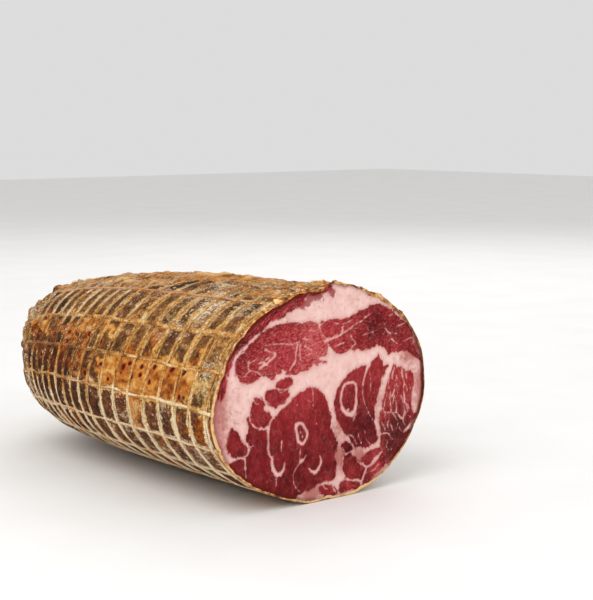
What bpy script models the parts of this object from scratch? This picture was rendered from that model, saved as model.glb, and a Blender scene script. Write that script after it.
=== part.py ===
"""A cut piece of coppa in its net, lying on its side.

The meat is one solid, with the rounded rear end at -X and the flat cut face at +X. The net
is a second solid, a ladder of hoops and lengthwise cords drawn tight round the meat, so
that the casing bulges out between its strands. Sizes are in metres and +Z is up. The piece
lies on the strands of a small flat strip, at z = 0.
"""
import bpy
import numpy as np

# Driving sizes of the meat, measured over its net
LENGTH = 0.2024           # from the cut face to the middle of the rear end
HALF_WIDTH = 0.0590
HALF_HEIGHT = 0.0460
FLAT_DEPTH = 0.0012       # how far the resting piece has settled onto its underside
TAPER = 0.111             # share of the radius that is lost towards the rear
BELLY = 0.034             # share of the radius that is gained halfway along
END_POWER = 5.4           # a higher power gives a blunter rear end
END_ROOT = 5.0
LEAN_UP = 0.15            # the rear end leans: its top reaches further back
LEAN_SIDE = 0.088
CENTRE_DROP = 0.5         # share of the taper that the underside makes up by sinking

# Unevenness of the section: how strong its third to sixth waves are, as (cosine, sine)
SECTION_WAVES = {3: (-0.0127, -0.0029), 4: (0.0016, 0.0083), 5: (0.0016, -0.0064), 6: (0.0028, 0.0043)}

# The net
STRAND_WIDTH = 0.0017
STRAND_DEPTH = 0.0013
NET_GAP = 0.0005          # clear space between a strand and the casing under it
CORD_ANGLES = (3, 29, 60, 93, 124, 147.5, 165, 180, 195, 209.5, 228, 248, 271, 295, 319, 341)
RIM_HOOP = 0.0045         # distance of the first hoop from the cut
WIDE_STEP = 0.0117        # spacing of the hoops on the front half
WIDE_HOOPS = 8
CLOSE_STEP = 0.0081       # spacing where the net is bunched, on the rear half
CLOSE_HOOPS = 10
END_STEP = 0.0130         # spacing of the hoops that close the rear end
END_HOOPS = 3
CORD_START = 0.0003       # the cords stop just short of the cut face
FLOOR_REACH = 0.0003      # strands this near to the floor lie flat on it

# The casing between the strands
PILLOW_HEIGHT = 0.0014
VALLEY_HALF = 0.0010      # half the width of the groove that a hoop lies in
RIM_PILLOW = 0.5          # share of the pillow height left at the cut edge

NET_DEPTH = NET_GAP + STRAND_DEPTH


def section_radius(angle):
    """Radius of the front section: an ellipse with a few slow waves, less the net's depth."""
    a = HALF_WIDTH - NET_DEPTH
    b = HALF_HEIGHT - NET_DEPTH
    ellipse = 1.0 / np.sqrt((np.cos(angle) / a) ** 2 + (np.sin(angle) / b) ** 2)
    waves = sum(c * np.cos(k * angle) + s * np.sin(k * angle) for k, (c, s) in SECTION_WAVES.items())
    return ellipse * (1.0 + waves)


def size_along(t):
    """Share of the section's radius at t, from 0 at the cut to 1 at the rear pole."""
    slow = 1.0 - TAPER * t + BELLY * np.sin(np.pi * t)
    return slow * np.clip(1.0 - t ** END_POWER, 0.0, 1.0) ** (1.0 / END_ROOT)


def casing(t, angle):
    """Points of the casing's grooves, before it bulges: the section scaled along the axis."""
    share = size_along(t)
    radius = share * section_radius(angle)
    y = radius * np.cos(angle)
    z = radius * np.sin(angle)
    full_drop = HALF_HEIGHT - FLAT_DEPTH
    height = full_drop * (1.0 - CENTRE_DROP + CENTRE_DROP * share)
    lean = LEAN_UP * z / HALF_HEIGHT + LEAN_SIDE * y / HALF_WIDTH
    x = -(LENGTH - NET_DEPTH) * t * (1.0 + t ** 3 * lean)
    return np.stack([x, y, np.maximum(height + z, NET_DEPTH)], axis=-1)


def normals(t, angle):
    """Outward directions of the casing, from small steps in t and in angle."""
    step = 1e-4
    ahead = casing(np.minimum(t + step, 1.0), angle)
    behind = casing(np.maximum(t - step, 0.0), angle)
    left = casing(t, angle + step)
    right = casing(t, angle - step)
    out = np.cross(ahead - behind, left - right)
    return out / np.maximum(np.linalg.norm(out, axis=-1, keepdims=True), 1e-12)


def share_at(distance):
    """The t that lies at a distance from the cut, measured along the casing's mean outline."""
    fine = 1.0 - (1.0 - np.linspace(0.0, 1.0, 4000)) ** 4
    mean_radius = 0.5 * (HALF_WIDTH + HALF_HEIGHT) - NET_DEPTH
    x = (LENGTH - NET_DEPTH) * fine
    r = mean_radius * size_along(fine)
    arc = np.concatenate([[0.0], np.cumsum(np.hypot(np.diff(x), np.diff(r)))])
    return np.interp(distance, arc, fine)


def hoop_places():
    """Distances of the hoops from the cut: wide steps, then close ones, then the rear end's."""
    steps = [WIDE_STEP] * WIDE_HOOPS + [CLOSE_STEP] * CLOSE_HOOPS + [END_STEP] * END_HOOPS
    return RIM_HOOP + np.concatenate([[0.0], np.cumsum(steps)])


def column_angles():
    """Angles of the cords, each followed by the angle halfway to the next cord."""
    cords = np.radians(CORD_ANGLES)
    following = np.append(cords[1:], cords[0] + 2.0 * np.pi)
    return np.stack([cords, 0.5 * (cords + following)], axis=1).ravel()


def meat_rows():
    """Distances of the mesh rows from the cut, and how far the casing bulges on each."""
    hoops = hoop_places()
    distances = [0.0]
    bulges = [RIM_PILLOW]
    for k, hoop in enumerate(hoops):
        distances += [hoop - VALLEY_HALF, hoop + VALLEY_HALF]
        bulges += [0.0, 0.0]
        if k + 1 < len(hoops):
            distances.append(0.5 * (hoop + hoops[k + 1]))
            bulges.append(1.0)
    return np.array(distances), np.array(bulges)


def meat_points():
    """The grid of the meat's skin: grooves under the strands, a pillow in each cell.

    The pillows get lower with the section, because the cells are narrower there.
    """
    distances, bulges = meat_rows()
    angles = column_angles()
    t, angle = np.meshgrid(share_at(distances), angles, indexing="ij")
    points = casing(t, angle)
    on_cord = np.arange(len(angles)) % 2 == 0
    height = PILLOW_HEIGHT * bulges[:, None] * size_along(t)
    points[:, ~on_cord] += (height[..., None] * normals(t, angle))[:, ~on_cord]
    for row in np.flatnonzero(bulges == 1.0):
        points[row, on_cord] = 0.5 * (points[row - 1, on_cord] + points[row + 1, on_cord])
    return points


def net_layer(height):
    """The net's grid at a height over the casing: each cord's two edges and the middle of each gap.

    What comes within FLOOR_REACH of the floor lies flat on it.
    """
    hoops = hoop_places()
    edges = np.stack([hoops - STRAND_WIDTH / 2, hoops + STRAND_WIDTH / 2], axis=1).ravel()
    t = share_at(np.concatenate([[CORD_START], edges]))[:, None]
    angles = column_angles()[None, :]
    half_turn = STRAND_WIDTH / 2 / (size_along(t) * section_radius(angles))
    low, middle = angles - half_turn, angles
    columns = np.stack([low[:, 0::2], (angles + half_turn)[:, 0::2], middle[:, 1::2] + 0.0 * t], axis=2)
    columns = columns.reshape(len(t), -1)
    t = np.broadcast_to(t, columns.shape)
    points = casing(t, columns) + height * normals(t, columns)
    level = points[..., 2]
    level[level < FLOOR_REACH] = 0.0
    return points


def ring_faces(rows, columns):
    """Corner numbers of the quads of a grid that closes on itself round the axis."""
    corner = np.arange(rows * columns).reshape(rows, columns)
    beside = np.roll(corner, -1, axis=1)
    return np.stack([corner[:-1], corner[1:], beside[1:], beside[:-1]], axis=-1)


def resting_centre():
    """Middle of the whole piece over the floor, which becomes the origin."""
    t, angle = np.meshgrid(np.linspace(0.0, 1.0, 400), np.linspace(0.0, 2.0 * np.pi, 360))
    points = (casing(t, angle) + NET_DEPTH * normals(t, angle)).reshape(-1, 3)
    lowest = points.min(axis=0)
    highest = points.max(axis=0)
    return np.array([0.5 * lowest[0], 0.5 * (lowest[1] + highest[1]), 0.0])


def add_object(name, points, faces, material, collection):
    """An object from a list of points and of faces, centred over the origin."""
    mesh = bpy.data.meshes.new(name)
    mesh.from_pydata((points - resting_centre()).tolist(), [], faces)
    mesh.update()
    mesh.materials.append(material)
    item = bpy.data.objects.new(name, mesh)
    collection.objects.link(item)
    return item


def make_material(name, colour, roughness):
    """A plain material of one colour."""
    material = bpy.data.materials.new(name)
    material.use_nodes = True
    shader = material.node_tree.nodes["Principled BSDF"]
    shader.inputs["Base Color"].default_value = (*colour, 1.0)
    shader.inputs["Roughness"].default_value = roughness
    shader.inputs["Metallic"].default_value = 0.0
    return material


def make_meat(collection):
    """The meat: a loft of rings with a flat cut face and a pointed fan at the rear pole."""
    points = meat_points()
    rows, columns = points.shape[:2]
    pole = casing(np.array(1.0), np.array(0.0))
    faces = ring_faces(rows, columns).reshape(-1, 4).tolist()
    faces.append(list(range(columns)))
    last = (rows - 1) * columns
    for k in range(columns):
        faces.append([last + (k + 1) % columns, last + k, rows * columns])
    cured = make_material("cured_meat", (0.20, 0.09, 0.05), 0.6)
    everything = np.vstack([points.reshape(-1, 3), pole[None, :]])
    return add_object("meat", everything, faces, cured, collection)


def closed_ladder(strips, count):
    """Faces of a solid net: the strips inside, the strips outside, and a wall at each open edge.

    The outer layer's corners are numbered count higher than the inner layer's. An edge is open
    if no strip runs along it the other way.
    """
    start = strips.ravel()
    end = np.roll(strips, -1, axis=1).ravel()
    is_open = ~np.isin(start * count + end, end * count + start)
    start, end = start[is_open], end[is_open]
    walls = np.stack([end + count, start + count, start, end], axis=1)
    return np.vstack([strips[:, ::-1], strips + count, walls])


def make_net(collection):
    """The net: a ladder of flat strands, with its inner and outer sides over the casing."""
    inner = net_layer(NET_GAP)
    outer = net_layer(NET_DEPTH)
    rows, columns = inner.shape[:2]
    grid = ring_faces(rows, columns)
    cord_strips = grid[0::2, 0::3].reshape(-1, 4)
    hoop_strips = grid[1::2].reshape(-1, 4)
    used, renumbered = np.unique(np.vstack([cord_strips, hoop_strips]), return_inverse=True)
    faces = closed_ladder(renumbered.reshape(-1, 4), len(used))
    points = np.vstack([inner.reshape(-1, 3)[used], outer.reshape(-1, 3)[used]])
    yarn = make_material("net_yarn", (0.62, 0.48, 0.32), 0.9)
    return add_object("net", points, faces.tolist(), yarn, collection)


def main():
    """Clear the scene, then build the meat and its net."""
    for item in list(bpy.data.objects):
        bpy.data.objects.remove(item, do_unlink=True)
    coppa = bpy.data.collections.new("coppa")
    bpy.context.scene.collection.children.link(coppa)
    make_meat(coppa)
    make_net(coppa)


main()
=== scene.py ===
"""Looks of a cut piece of netted coppa lying on its side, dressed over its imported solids.

Every piece is a surface worked out with numpy. A place on the casing is given by its distance
from the cut and its angle round the section, from 0 at +Y through 90 at the top. A place on
the cut face is given in millimetres: across the face, and up from the floor.
"""
import math
import bpy
import numpy as np
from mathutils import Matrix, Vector


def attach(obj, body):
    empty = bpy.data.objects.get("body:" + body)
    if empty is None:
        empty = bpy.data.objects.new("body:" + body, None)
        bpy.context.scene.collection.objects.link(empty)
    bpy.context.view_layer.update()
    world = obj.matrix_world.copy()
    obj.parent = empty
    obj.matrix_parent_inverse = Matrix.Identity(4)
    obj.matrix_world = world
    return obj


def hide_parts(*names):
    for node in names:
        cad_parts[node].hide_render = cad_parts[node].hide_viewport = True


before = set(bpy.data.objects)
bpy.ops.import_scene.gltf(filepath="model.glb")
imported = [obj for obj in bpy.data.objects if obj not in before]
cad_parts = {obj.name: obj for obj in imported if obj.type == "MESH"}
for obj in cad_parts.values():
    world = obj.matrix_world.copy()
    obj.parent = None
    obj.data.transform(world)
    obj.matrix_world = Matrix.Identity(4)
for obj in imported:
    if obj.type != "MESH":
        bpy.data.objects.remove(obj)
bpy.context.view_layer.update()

MM = 0.001
FULL_TURN = 2.0 * np.pi

# The body of the meat, as in the part's source: lengths in metres
LENGTH = 0.2024
HALF_WIDTH = 0.0590
HALF_HEIGHT = 0.0460
FLAT_DEPTH = 0.0012
TAPER = 0.111
BELLY = 0.034
END_POWER = 5.4
END_ROOT = 5.0
LEAN_UP = 0.15
LEAN_SIDE = 0.088
CENTRE_DROP = 0.5
SECTION_WAVES = {3: (-0.0127, -0.0029), 4: (0.0016, 0.0083), 5: (0.0016, -0.0064), 6: (0.0028, 0.0043)}
NET_DEPTH = 0.0018
MEAN_RADIUS = 0.050

# The net, as in the part's source
CORD_ANGLES = (3, 29, 60, 93, 124, 147.5, 165, 180, 195, 209.5, 228, 248, 271, 295, 319, 341)
RIM_HOOP = 0.0045
HOOP_STEPS = [0.0117] * 8 + [0.0081] * 10 + [0.0130] * 3
HOOPS = RIM_HOOP + np.concatenate([[0.0], np.cumsum(HOOP_STEPS)])
CORDS = np.radians(CORD_ANGLES)

BOLD_CORD = 124            # the reddish cord along the top
# Cords with a crust near the cut: angle, where it starts to fade, its depth, how much it bleaches
CRUSTED_CORDS = [(147.5, 0.100, 0.00040, 0.04), (165, 0.060, 0.00014, 0.10), (180, 0.035, 0.00022, 0.12)]
CRUST_FADE = 0.040
CORD_STEP = 0.0005
CORD_SIDES = 8
HOOP_SIDES = 6

# The casing between the strands
SKIN_LIFT = 0.35 * MM     # the skin rises this far to meet the strands
PILLOW = 1.15 * MM        # how far it bulges in a cell
KNOBS = 2.2 * MM          # how far the knobs of the rear stand out
JOIN_AT = HOOPS[8]        # the casing's two pieces meet under this hoop
SKIN_RUN = 0.240          # length that the lattices of its relief span
LUMPS = (18, 34)          # lattice of the lumps along the top, as cells along and round
POLE_MARGIN = 0.004       # flecks and fibres keep this far from the rear pole
FACE_RUN = 130.0          # millimetres that the lattice of the cut face spans


# Small helpers

def unit(vectors):
    """Vectors brought to length 1."""
    return vectors / np.maximum(np.linalg.norm(vectors, axis=-1, keepdims=True), 1e-12)


def turn_of(angle):
    """An angle in degrees, from 0 to 360."""
    return np.mod(np.degrees(angle), 360.0)


def ease(value, low, high):
    """Smooth step: 0 below low, 1 above high, a cubic between."""
    share = np.clip((value - low) / (high - low), 0.0, 1.0)
    return share * share * (3.0 - 2.0 * share)


def span(value, start, full, ebb, end):
    """1 from full to ebb, eased up from start before them and down to end after them."""
    return ease(value, start, full) * (1.0 - ease(value, ebb, end))


def rumple(u, v, cells, seed):
    """Random relief from -1 to 1: heights on a lattice that closes on itself, blended smoothly.

    u and v run from 0 to 1, and cells gives the lattice's number of cells each way.
    """
    heights = np.random.default_rng(seed).uniform(-1.0, 1.0, cells)
    x = np.mod(u, 1.0) * cells[0]
    y = np.mod(v, 1.0) * cells[1]
    i = np.floor(x).astype(int)
    j = np.floor(y).astype(int)
    a = ease(x - i, 0.0, 1.0)
    b = ease(y - j, 0.0, 1.0)
    i0, i1 = i % cells[0], (i + 1) % cells[0]
    j0, j1 = j % cells[1], (j + 1) % cells[1]
    low = heights[i0, j0] * (1.0 - a) + heights[i1, j0] * a
    high = heights[i0, j1] * (1.0 - a) + heights[i1, j1] * a
    return low * (1.0 - b) + high * b


def layered(u, v, cells, seed, layers=3):
    """Rumples of halving size and strength laid over each other."""
    total = 0.0
    for k in range(layers):
        finer = (cells[0] * 2 ** k, cells[1] * 2 ** k)
        total = total + rumple(u, v, finer, seed + k) * 0.5 ** k
    return total


def lattice(distance, angle):
    """A place on the casing as shares of the skin's run and of the full turn."""
    return distance / SKIN_RUN, angle / FULL_TURN


def round_rumple(angle, cells, seed, layers=1):
    """Random relief that changes round the section alone."""
    v = angle / FULL_TURN
    return layered(0.0 * v, v, (2, cells), seed, layers)


def long_rumple(distance, cells, seed, layers=1):
    """Random relief that changes along the piece alone."""
    u = distance / SKIN_RUN
    return layered(u, 0.0 * u, (cells, 2), seed, layers)


def bump(distance, angle, at_mm, at_degrees, long_mm, wide_degrees):
    """A soft patch on the casing: a bell curve about a distance and an angle."""
    turn = np.mod(np.degrees(angle) - at_degrees + 180.0, 360.0) - 180.0
    return np.exp(-((distance / MM - at_mm) / long_mm) ** 2 - (turn / wide_degrees) ** 2)


def side_of(angle):
    """How much a place belongs to the ridged top rather than to the netted flanks."""
    return span(turn_of(angle), 22.0, 45.0, 108.0, 127.0)


def turn_to_cord(angle):
    """The angle from each place to the nearest cord."""
    return np.abs(np.mod(angle[..., None] - CORDS + np.pi, FULL_TURN) - np.pi).min(axis=-1)


# Shape of the body

def section_radius(angle):
    """Radius of the front section: an ellipse with a few slow waves, less the net's depth."""
    a = HALF_WIDTH - NET_DEPTH
    b = HALF_HEIGHT - NET_DEPTH
    ellipse = 1.0 / np.sqrt((np.cos(angle) / a) ** 2 + (np.sin(angle) / b) ** 2)
    waves = sum(c * np.cos(k * angle) + s * np.sin(k * angle) for k, (c, s) in SECTION_WAVES.items())
    return ellipse * (1.0 + waves)


def size_along(t):
    """Share of the section's radius at t: a slow taper and belly, closed by a blunt end."""
    slow = 1.0 - TAPER * t + BELLY * np.sin(np.pi * t)
    return slow * np.clip(1.0 - t ** END_POWER, 0.0, 1.0) ** (1.0 / END_ROOT)


def groove(t, angle):
    """Points under the strands: the section scaled along the axis, its rear end leaning."""
    share = size_along(t)
    radius = share * section_radius(angle)
    y = radius * np.cos(angle)
    z = radius * np.sin(angle)
    height = (HALF_HEIGHT - FLAT_DEPTH) * (1.0 - CENTRE_DROP + CENTRE_DROP * share)
    lean = LEAN_UP * z / HALF_HEIGHT + LEAN_SIDE * y / HALF_WIDTH
    x = -(LENGTH - NET_DEPTH) * t * (1.0 + t ** 3 * lean)
    return np.stack([x, y, np.maximum(height + z, NET_DEPTH)], axis=-1)


def outward(t, angle):
    """Outward directions: the cross product of small steps in t and in angle."""
    step = 1e-4
    along = groove(np.minimum(t + step, 1.0), angle) - groove(np.maximum(t - step, 0.0), angle)
    around = groove(t, angle + step) - groove(t, angle - step)
    return unit(np.cross(along, around))


def measured_outline():
    """The mean outline as a table of t against the distance from the cut."""
    fine = 1.0 - (1.0 - np.linspace(0.0, 1.0, 4000)) ** 4
    x = (LENGTH - NET_DEPTH) * fine
    r = (0.5 * (HALF_WIDTH + HALF_HEIGHT) - NET_DEPTH) * size_along(fine)
    arc = np.concatenate([[0.0], np.cumsum(np.hypot(np.diff(x), np.diff(r)))])
    return arc, fine


ARC, ARC_T = measured_outline()
POLE_AT = ARC[-1]


def share_at(distance):
    """The t at a distance from the cut, read from the measured outline."""
    return np.interp(distance, ARC, ARC_T)


def resting_centre():
    """Middle of the whole piece over the floor, which is the origin of the part."""
    t, angle = np.meshgrid(np.linspace(0.0, 1.0, 400), np.linspace(0.0, FULL_TURN, 360))
    points = (groove(t, angle) + NET_DEPTH * outward(t, angle)).reshape(-1, 3)
    low = points.min(axis=0)
    high = points.max(axis=0)
    return np.array([0.5 * low[0], 0.5 * (low[1] + high[1]), 0.0])


CENTRE = resting_centre()
CUT_X = -CENTRE[0]
FACE_MIDDLE = np.array([-CENTRE[1], HALF_HEIGHT - FLAT_DEPTH])


# The casing

def cell_place(distance, angle):
    """For a place on the casing: its cell, and how far across the cell it lies each way, 0 to 1."""
    hoops = np.concatenate([[-HOOP_STEPS[0] + RIM_HOOP], HOOPS, [POLE_AT + 4.0 * MM]])
    row = np.clip(np.searchsorted(hoops, distance, side="right") - 1, 0, len(hoops) - 2)
    along = (distance - hoops[row]) / (hoops[row + 1] - hoops[row])
    turn = np.mod(angle - CORDS[0], FULL_TURN)
    cords = np.append(CORDS - CORDS[0], FULL_TURN)
    column = np.clip(np.searchsorted(cords, turn, side="right") - 1, 0, len(CORDS) - 1)
    around = (turn - cords[column]) / (cords[column + 1] - cords[column])
    return row, column, along, around


def pillow(distance, angle):
    """The bulge in each cell: a rounded hump that falls to nothing at the strands."""
    row, column, along, around = cell_place(distance, angle)
    hump = np.sin(np.pi * along) ** 0.55 * (0.35 + 0.65 * np.sin(np.pi * around) ** 0.5)
    own = np.random.default_rng(11).uniform(0.55, 1.25, (len(HOOPS) + 2, len(CORDS)))
    return hump * own[row, column]


# Swell of the body at the cut: angle round the section, and height in millimetres
SWELL = [(0, 0.2), (10, 0.8), (20, 1.5), (30, 1.8), (45, 1.4), (60, 1.2), (75, 1.5), (90, 1.7),
         (102, 1.5), (112, 1.2), (121, 1), (130, 1.4), (140, 2.1), (152, 2), (165, 1.5), (180, 1.9),
         (191, 1.5), (202, 0.2), (340, 0), (360, 0.2)]
SWELL_ANGLES, SWELL_HEIGHTS = zip(*SWELL)


def swell(distance, angle):
    """How far the body swells out at the cut: read from the table, and gone by 60 mm along."""
    heights = np.interp(turn_of(angle), SWELL_ANGLES, SWELL_HEIGHTS)
    return MM * heights * np.exp(-(distance / 0.030) ** 2)


def casing_relief(distance, angle):
    """Height of the skin over the grooves: a pillow in each cell and wrinkles, summed.

    The top adds lumps and fibrous ridges, the rear adds knobs, and the folds that draw the rear
    end together are a sine of the angle. Stained pits sink in, and the cut swells out.
    """
    u, v = lattice(distance, angle)
    top = side_of(angle)
    upper = 1.0 - ease(turn_of(angle), 166.0, 178.0)
    rear = ease(distance, 0.150, 0.185) * (0.25 + 0.75 * upper)
    slid = distance + 1.8 * MM * top * rumple(u, v, (20, 40), 17)
    height = PILLOW * pillow(slid, angle) * (1.0 + 0.9 * rear) * (1.0 + 0.2 * top)
    knobs = ease(distance, 0.150, 0.190) * (0.15 + 0.85 * upper)
    height = height + KNOBS * knobs * np.maximum(0.0, layered(u, v, (54, 54), 13, 2))
    height = height + MM * 1.1 * top * layered(u, v, LUMPS, 3)
    height = height - 0.35 * MM * pit_share(distance, angle)
    ridges = 1.0 - np.abs(rumple(u + 0.25 * v, v, (96, 44), 5))
    height = height + MM * 0.3 * (0.1 + 0.9 * top) * ridges ** 2
    height = height + MM * 0.13 * layered(u, v, (60, 90), 8)
    drawn = ease(distance, 0.205, 0.222)
    folds = np.sin(angle * 16.0 + 2.0 * rumple(u, v, (20, 12), 9))
    height = height + MM * 0.9 * drawn * folds * ease(POLE_AT - distance, 0.0, 0.006)
    return SKIN_LIFT + height + swell(distance, angle)


def casing_skin(distance, angle):
    """Points of the skin: the groove surface moved outward by its relief, flat at the cut."""
    t = share_at(distance)
    away = outward(t, angle)
    away[..., 0] *= ease(distance, 0.0, 0.004)
    points = groove(t, angle) + casing_relief(distance, angle)[..., None] * away - CENTRE
    points[..., 2] = np.maximum(points[..., 2], 0.3 * MM)
    return points


def strand_gap(distance, angle):
    """Distance from a place on the casing to the nearest strand's middle, in millimetres.

    A cord counts as twice as far away as it is, because less crust gathers along it.
    """
    to_hoop = np.abs(distance[..., None] - HOOPS).min(axis=-1)
    to_cord = turn_to_cord(angle) * size_along(share_at(distance)) * MEAN_RADIUS
    return np.minimum(to_hoop, 2.0 * to_cord) / MM


# Stained pits in the amber fat: distance from the cut in millimetres, angle, and radius. They
# reach PIT_LONG of their radius in millimetres along, and PIT_WIDE of it in degrees round
PIT_LONG = 1.4
PIT_WIDE = 1.2
PITS = [(69.5, 169.8, 1.8), (56.1, 168.4, 1.2), (62.1, 173.2, 1.5), (55.4, 171.8, 1.2), (47.1, 167.3, 1.5),
        (47.5, 173.8, 1.2), (34.2, 166.9, 1.7), (25.6, 167.3, 1.5), (23.9, 176.8, 1.4), (66.0, 168.0, 1.2),
        (126.1, 158.1, 1.3), (107.5, 157.5, 1.6), (95.3, 161.0, 1.4), (98.9, 151.0, 1.0),
        (125.1, 163.1, 1.2), (114.2, 174.1, 1.6), (133.4, 133.6, 1.2), (88.0, 171.0, 1.2),
        (101.0, 176.0, 1.5), (80.0, 176.5, 1.0), (38.0, 178.0, 0.9), (141.0, 160.0, 1.3),
        (150.0, 171.0, 1.4), (60.0, 12.0, 1.4), (95.0, 8.0, 1.6), (120.0, 15.0, 1.3)]


def pit_share(distance, angle):
    """How much a place lies in a pit: the strongest of their bell curves."""
    best = np.zeros(distance.shape)
    for at_mm, at_degrees, radius in PITS:
        pit = bump(distance, angle, at_mm, at_degrees, PIT_LONG * radius, PIT_WIDE * radius)
        best = np.maximum(best, pit)
    return best


# Zones of the skin, each a list of patches: distance from the cut in millimetres, angle, half
# length in millimetres, half width in degrees, and strength. DEEP darkens where it is above nothing
AMBER = [(42, 171.5, 30, 8, 1.2), (72, 173, 24, 7.5, 0.8), (100, 153, 9, 5, 0.45), (90, 10, 40, 10, 0.6),
         (157, 155, 7, 4, 0.75), (170, 150, 6, 5, 0.8), (146, 160, 6, 4, 0.5),
         (116, 153, 6, 5, 0.7), (88, 153, 6, 5, 0.45), (131, 152, 5, 4, 0.5)]
RUST = [(122, 158, 26, 8, 0.65), (104, 171, 16, 8, 0.75), (134, 172, 24, 7, 0.85), (8, 188, 9, 7, 1.0),
        (38, 116, 14, 6, 0.5), (158, 154, 26, 8, 0.55), (70, 155, 10, 6, -0.7), (86, 155, 8, 6, -0.3),
        (27, 153, 8, 6, -0.5), (68, 146, 8, 5, -0.4), (150, 155, 8, 6, -0.3)]
MOULD = [(5, 171, 9, 8, 1.0), (60, 142, 30, 9, 0.5), (186, 161, 8, 7, 0.7)]
POWDER = [(111, 176, 5, 5, 0.5), (116, 153, 8, 5, 0.4), (46, 120, 12, 5, 0.3), (5, 165, 8, 14, 0.3),
          (30, 200, 36, 16, 0.4), (172, 187, 9, 8, 0.5), (8, 187, 10, 9, -0.7), (30, 132, 34, 14, 0.34),
          (122, 114, 14, 7, 0.35), (30, 104, 10, 6, 0.3), (172, 171, 8, 6, 0.35), (172, 141, 8, 6, 0.3),
          (52, 104, 10, 7, 0.3)]
DEEP = [(142, 174, 32, 11, 0.44), (125, 190, 36, 9, 0.16), (68, 113, 9, 9, 0.3), (30, 113, 12, 6, 0.12),
        (115, 111, 36, 11, -0.12), (28, 204, 30, 11, 0.06), (122, 202, 14, 8, 0.16),
        (35, 128, 45, 10, 0.06), (10, 141, 12, 8, -0.12), (90, 142, 20, 8, -0.04), (150, 142, 12, 6, 0.3),
        (12, 155, 10, 7, -0.14), (52, 155, 9, 6, 0.1), (90, 155, 9, 6, -0.16), (70, 187, 8, 6, -0.2),
        (110, 187, 12, 6, 0.1), (170, 187, 8, 6, -0.2), (42, 203, 18, 8, -0.04), (90, 104, 8, 5, -0.2),
        (30, 130, 9, 7, -0.15), (50, 130, 9, 7, -0.08), (12, 141, 8, 6, -0.12), (30, 105, 9, 7, 0.12),
        (70, 104, 8, 5, 0.1), (120, 114, 16, 6, -0.12), (156, 156, 9, 6, 0.15), (52, 155, 8, 6, 0.1),
        (142, 170, 18, 7, 0.2), (110, 170, 8, 6, 0.08), (172, 171, 8, 6, -0.3), (10, 187, 8, 7, 0.3),
        (150, 141, 9, 6, 0.12), (60, 203, 9, 6, -0.06), (30, 112, 9, 7, 0.26), (70, 108, 8, 8, 0.16),
        (110, 104, 8, 5, 0.28), (170, 130, 9, 6, 0.1), (112, 187, 22, 6, 0.22), (148, 187, 14, 7, 0.18),
        (120, 203, 14, 7, 0.16)]


def patches(distance, angle, table):
    """Sum of the bell curves of a table of patches."""
    total = np.zeros(np.broadcast(distance, angle).shape)
    for at_mm, at_degrees, long_mm, wide_degrees, strength in table:
        total += strength * bump(distance, angle, at_mm, at_degrees, long_mm, wide_degrees)
    return total


def casing_looks(distance, angle):
    """What the casing's finish reads at each place.

    own is random for each cell, and near tells how close a strand is. gap is its distance in
    millimetres, and clear the distance to the crust along it. amber, rust, low, top and mould are
    zones, and powder is the white on the skin. pit marks the stained pits and deep the dark
    places, hump is the bulge in a cell, and lump the lumps along the top.
    """
    u, v = lattice(distance, angle)
    turn = turn_of(angle)
    row, column, _, _ = cell_place(distance, angle)
    draw = np.random.default_rng(23).uniform(0.0, 1.0, (2, len(HOOPS) + 2, len(CORDS)))
    own, rusted = draw[0][row, column], draw[1][row, column]
    top = side_of(angle)
    dip = 12.0 * ease(distance, 0.105, 0.13)
    low = ease(turn + dip, 176.0, 186.0) * (1.0 - ease(turn, 335.0, 355.0))
    lump = top * layered(u, v, LUMPS, 3)
    amber = patches(distance, angle, AMBER)
    rust = patches(distance, angle, RUST) + 0.5 * ease(rusted, 0.7, 0.9)
    rust = rust + 0.35 * rumple(u, v, (24, 22), 31) - 0.3 * (1.0 - ease(own, 0.25, 0.5))
    gap = strand_gap(distance, angle)
    near = np.exp(-(np.maximum(gap - 0.8, 0.0) / 0.9) ** 2)
    mould = patches(distance, angle, MOULD) + 0.35 * rumple(u, v, (14, 16), 35)
    powder = 0.35 + patches(distance, angle, POWDER) + 0.35 * rumple(u, v, (20, 24), 36)
    powder = powder + 0.2 * ease(distance, 0.17, 0.2) + 0.3 * np.clip(-lump, 0.0, 1.0)
    powder = powder + 0.16 * span(turn, 60.0, 104.0, 128.0, 142.0)
    deep = patches(distance, angle, DEEP) + 0.45 * ease(rumple(u, v, (26, 30), 37), 0.35, 0.8) * top
    crust = 1.75 + 1.1 * bump(distance, angle, 30.0, 130.0, 50.0, 24.0) - 0.6 * ease(distance, 0.080, 0.115)
    crust = crust + 0.55 * rumple(u, v, (30, 36), 38) - 0.25 * low - 0.5 * np.minimum(amber, 1.0)
    crust = crust - 0.4 * bump(distance, angle, 150.0, 170.0, 50.0, 14.0)
    crust = crust + 0.3 * ease(distance, 0.105, 0.135) * span(turn, 118.0, 126.0, 144.0, 152.0)
    return {
        "own": own, "amber": amber, "rust": rust, "low": low, "top": top, "mould": mould,
        "powder": powder, "pit": pit_share(distance, angle), "deep": deep, "lump": lump,
        "hump": pillow(distance, angle), "near": near, "gap": np.minimum(gap, 6.0),
        "clear": np.clip(gap - crust, -3.0, 5.0),
    }


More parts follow.
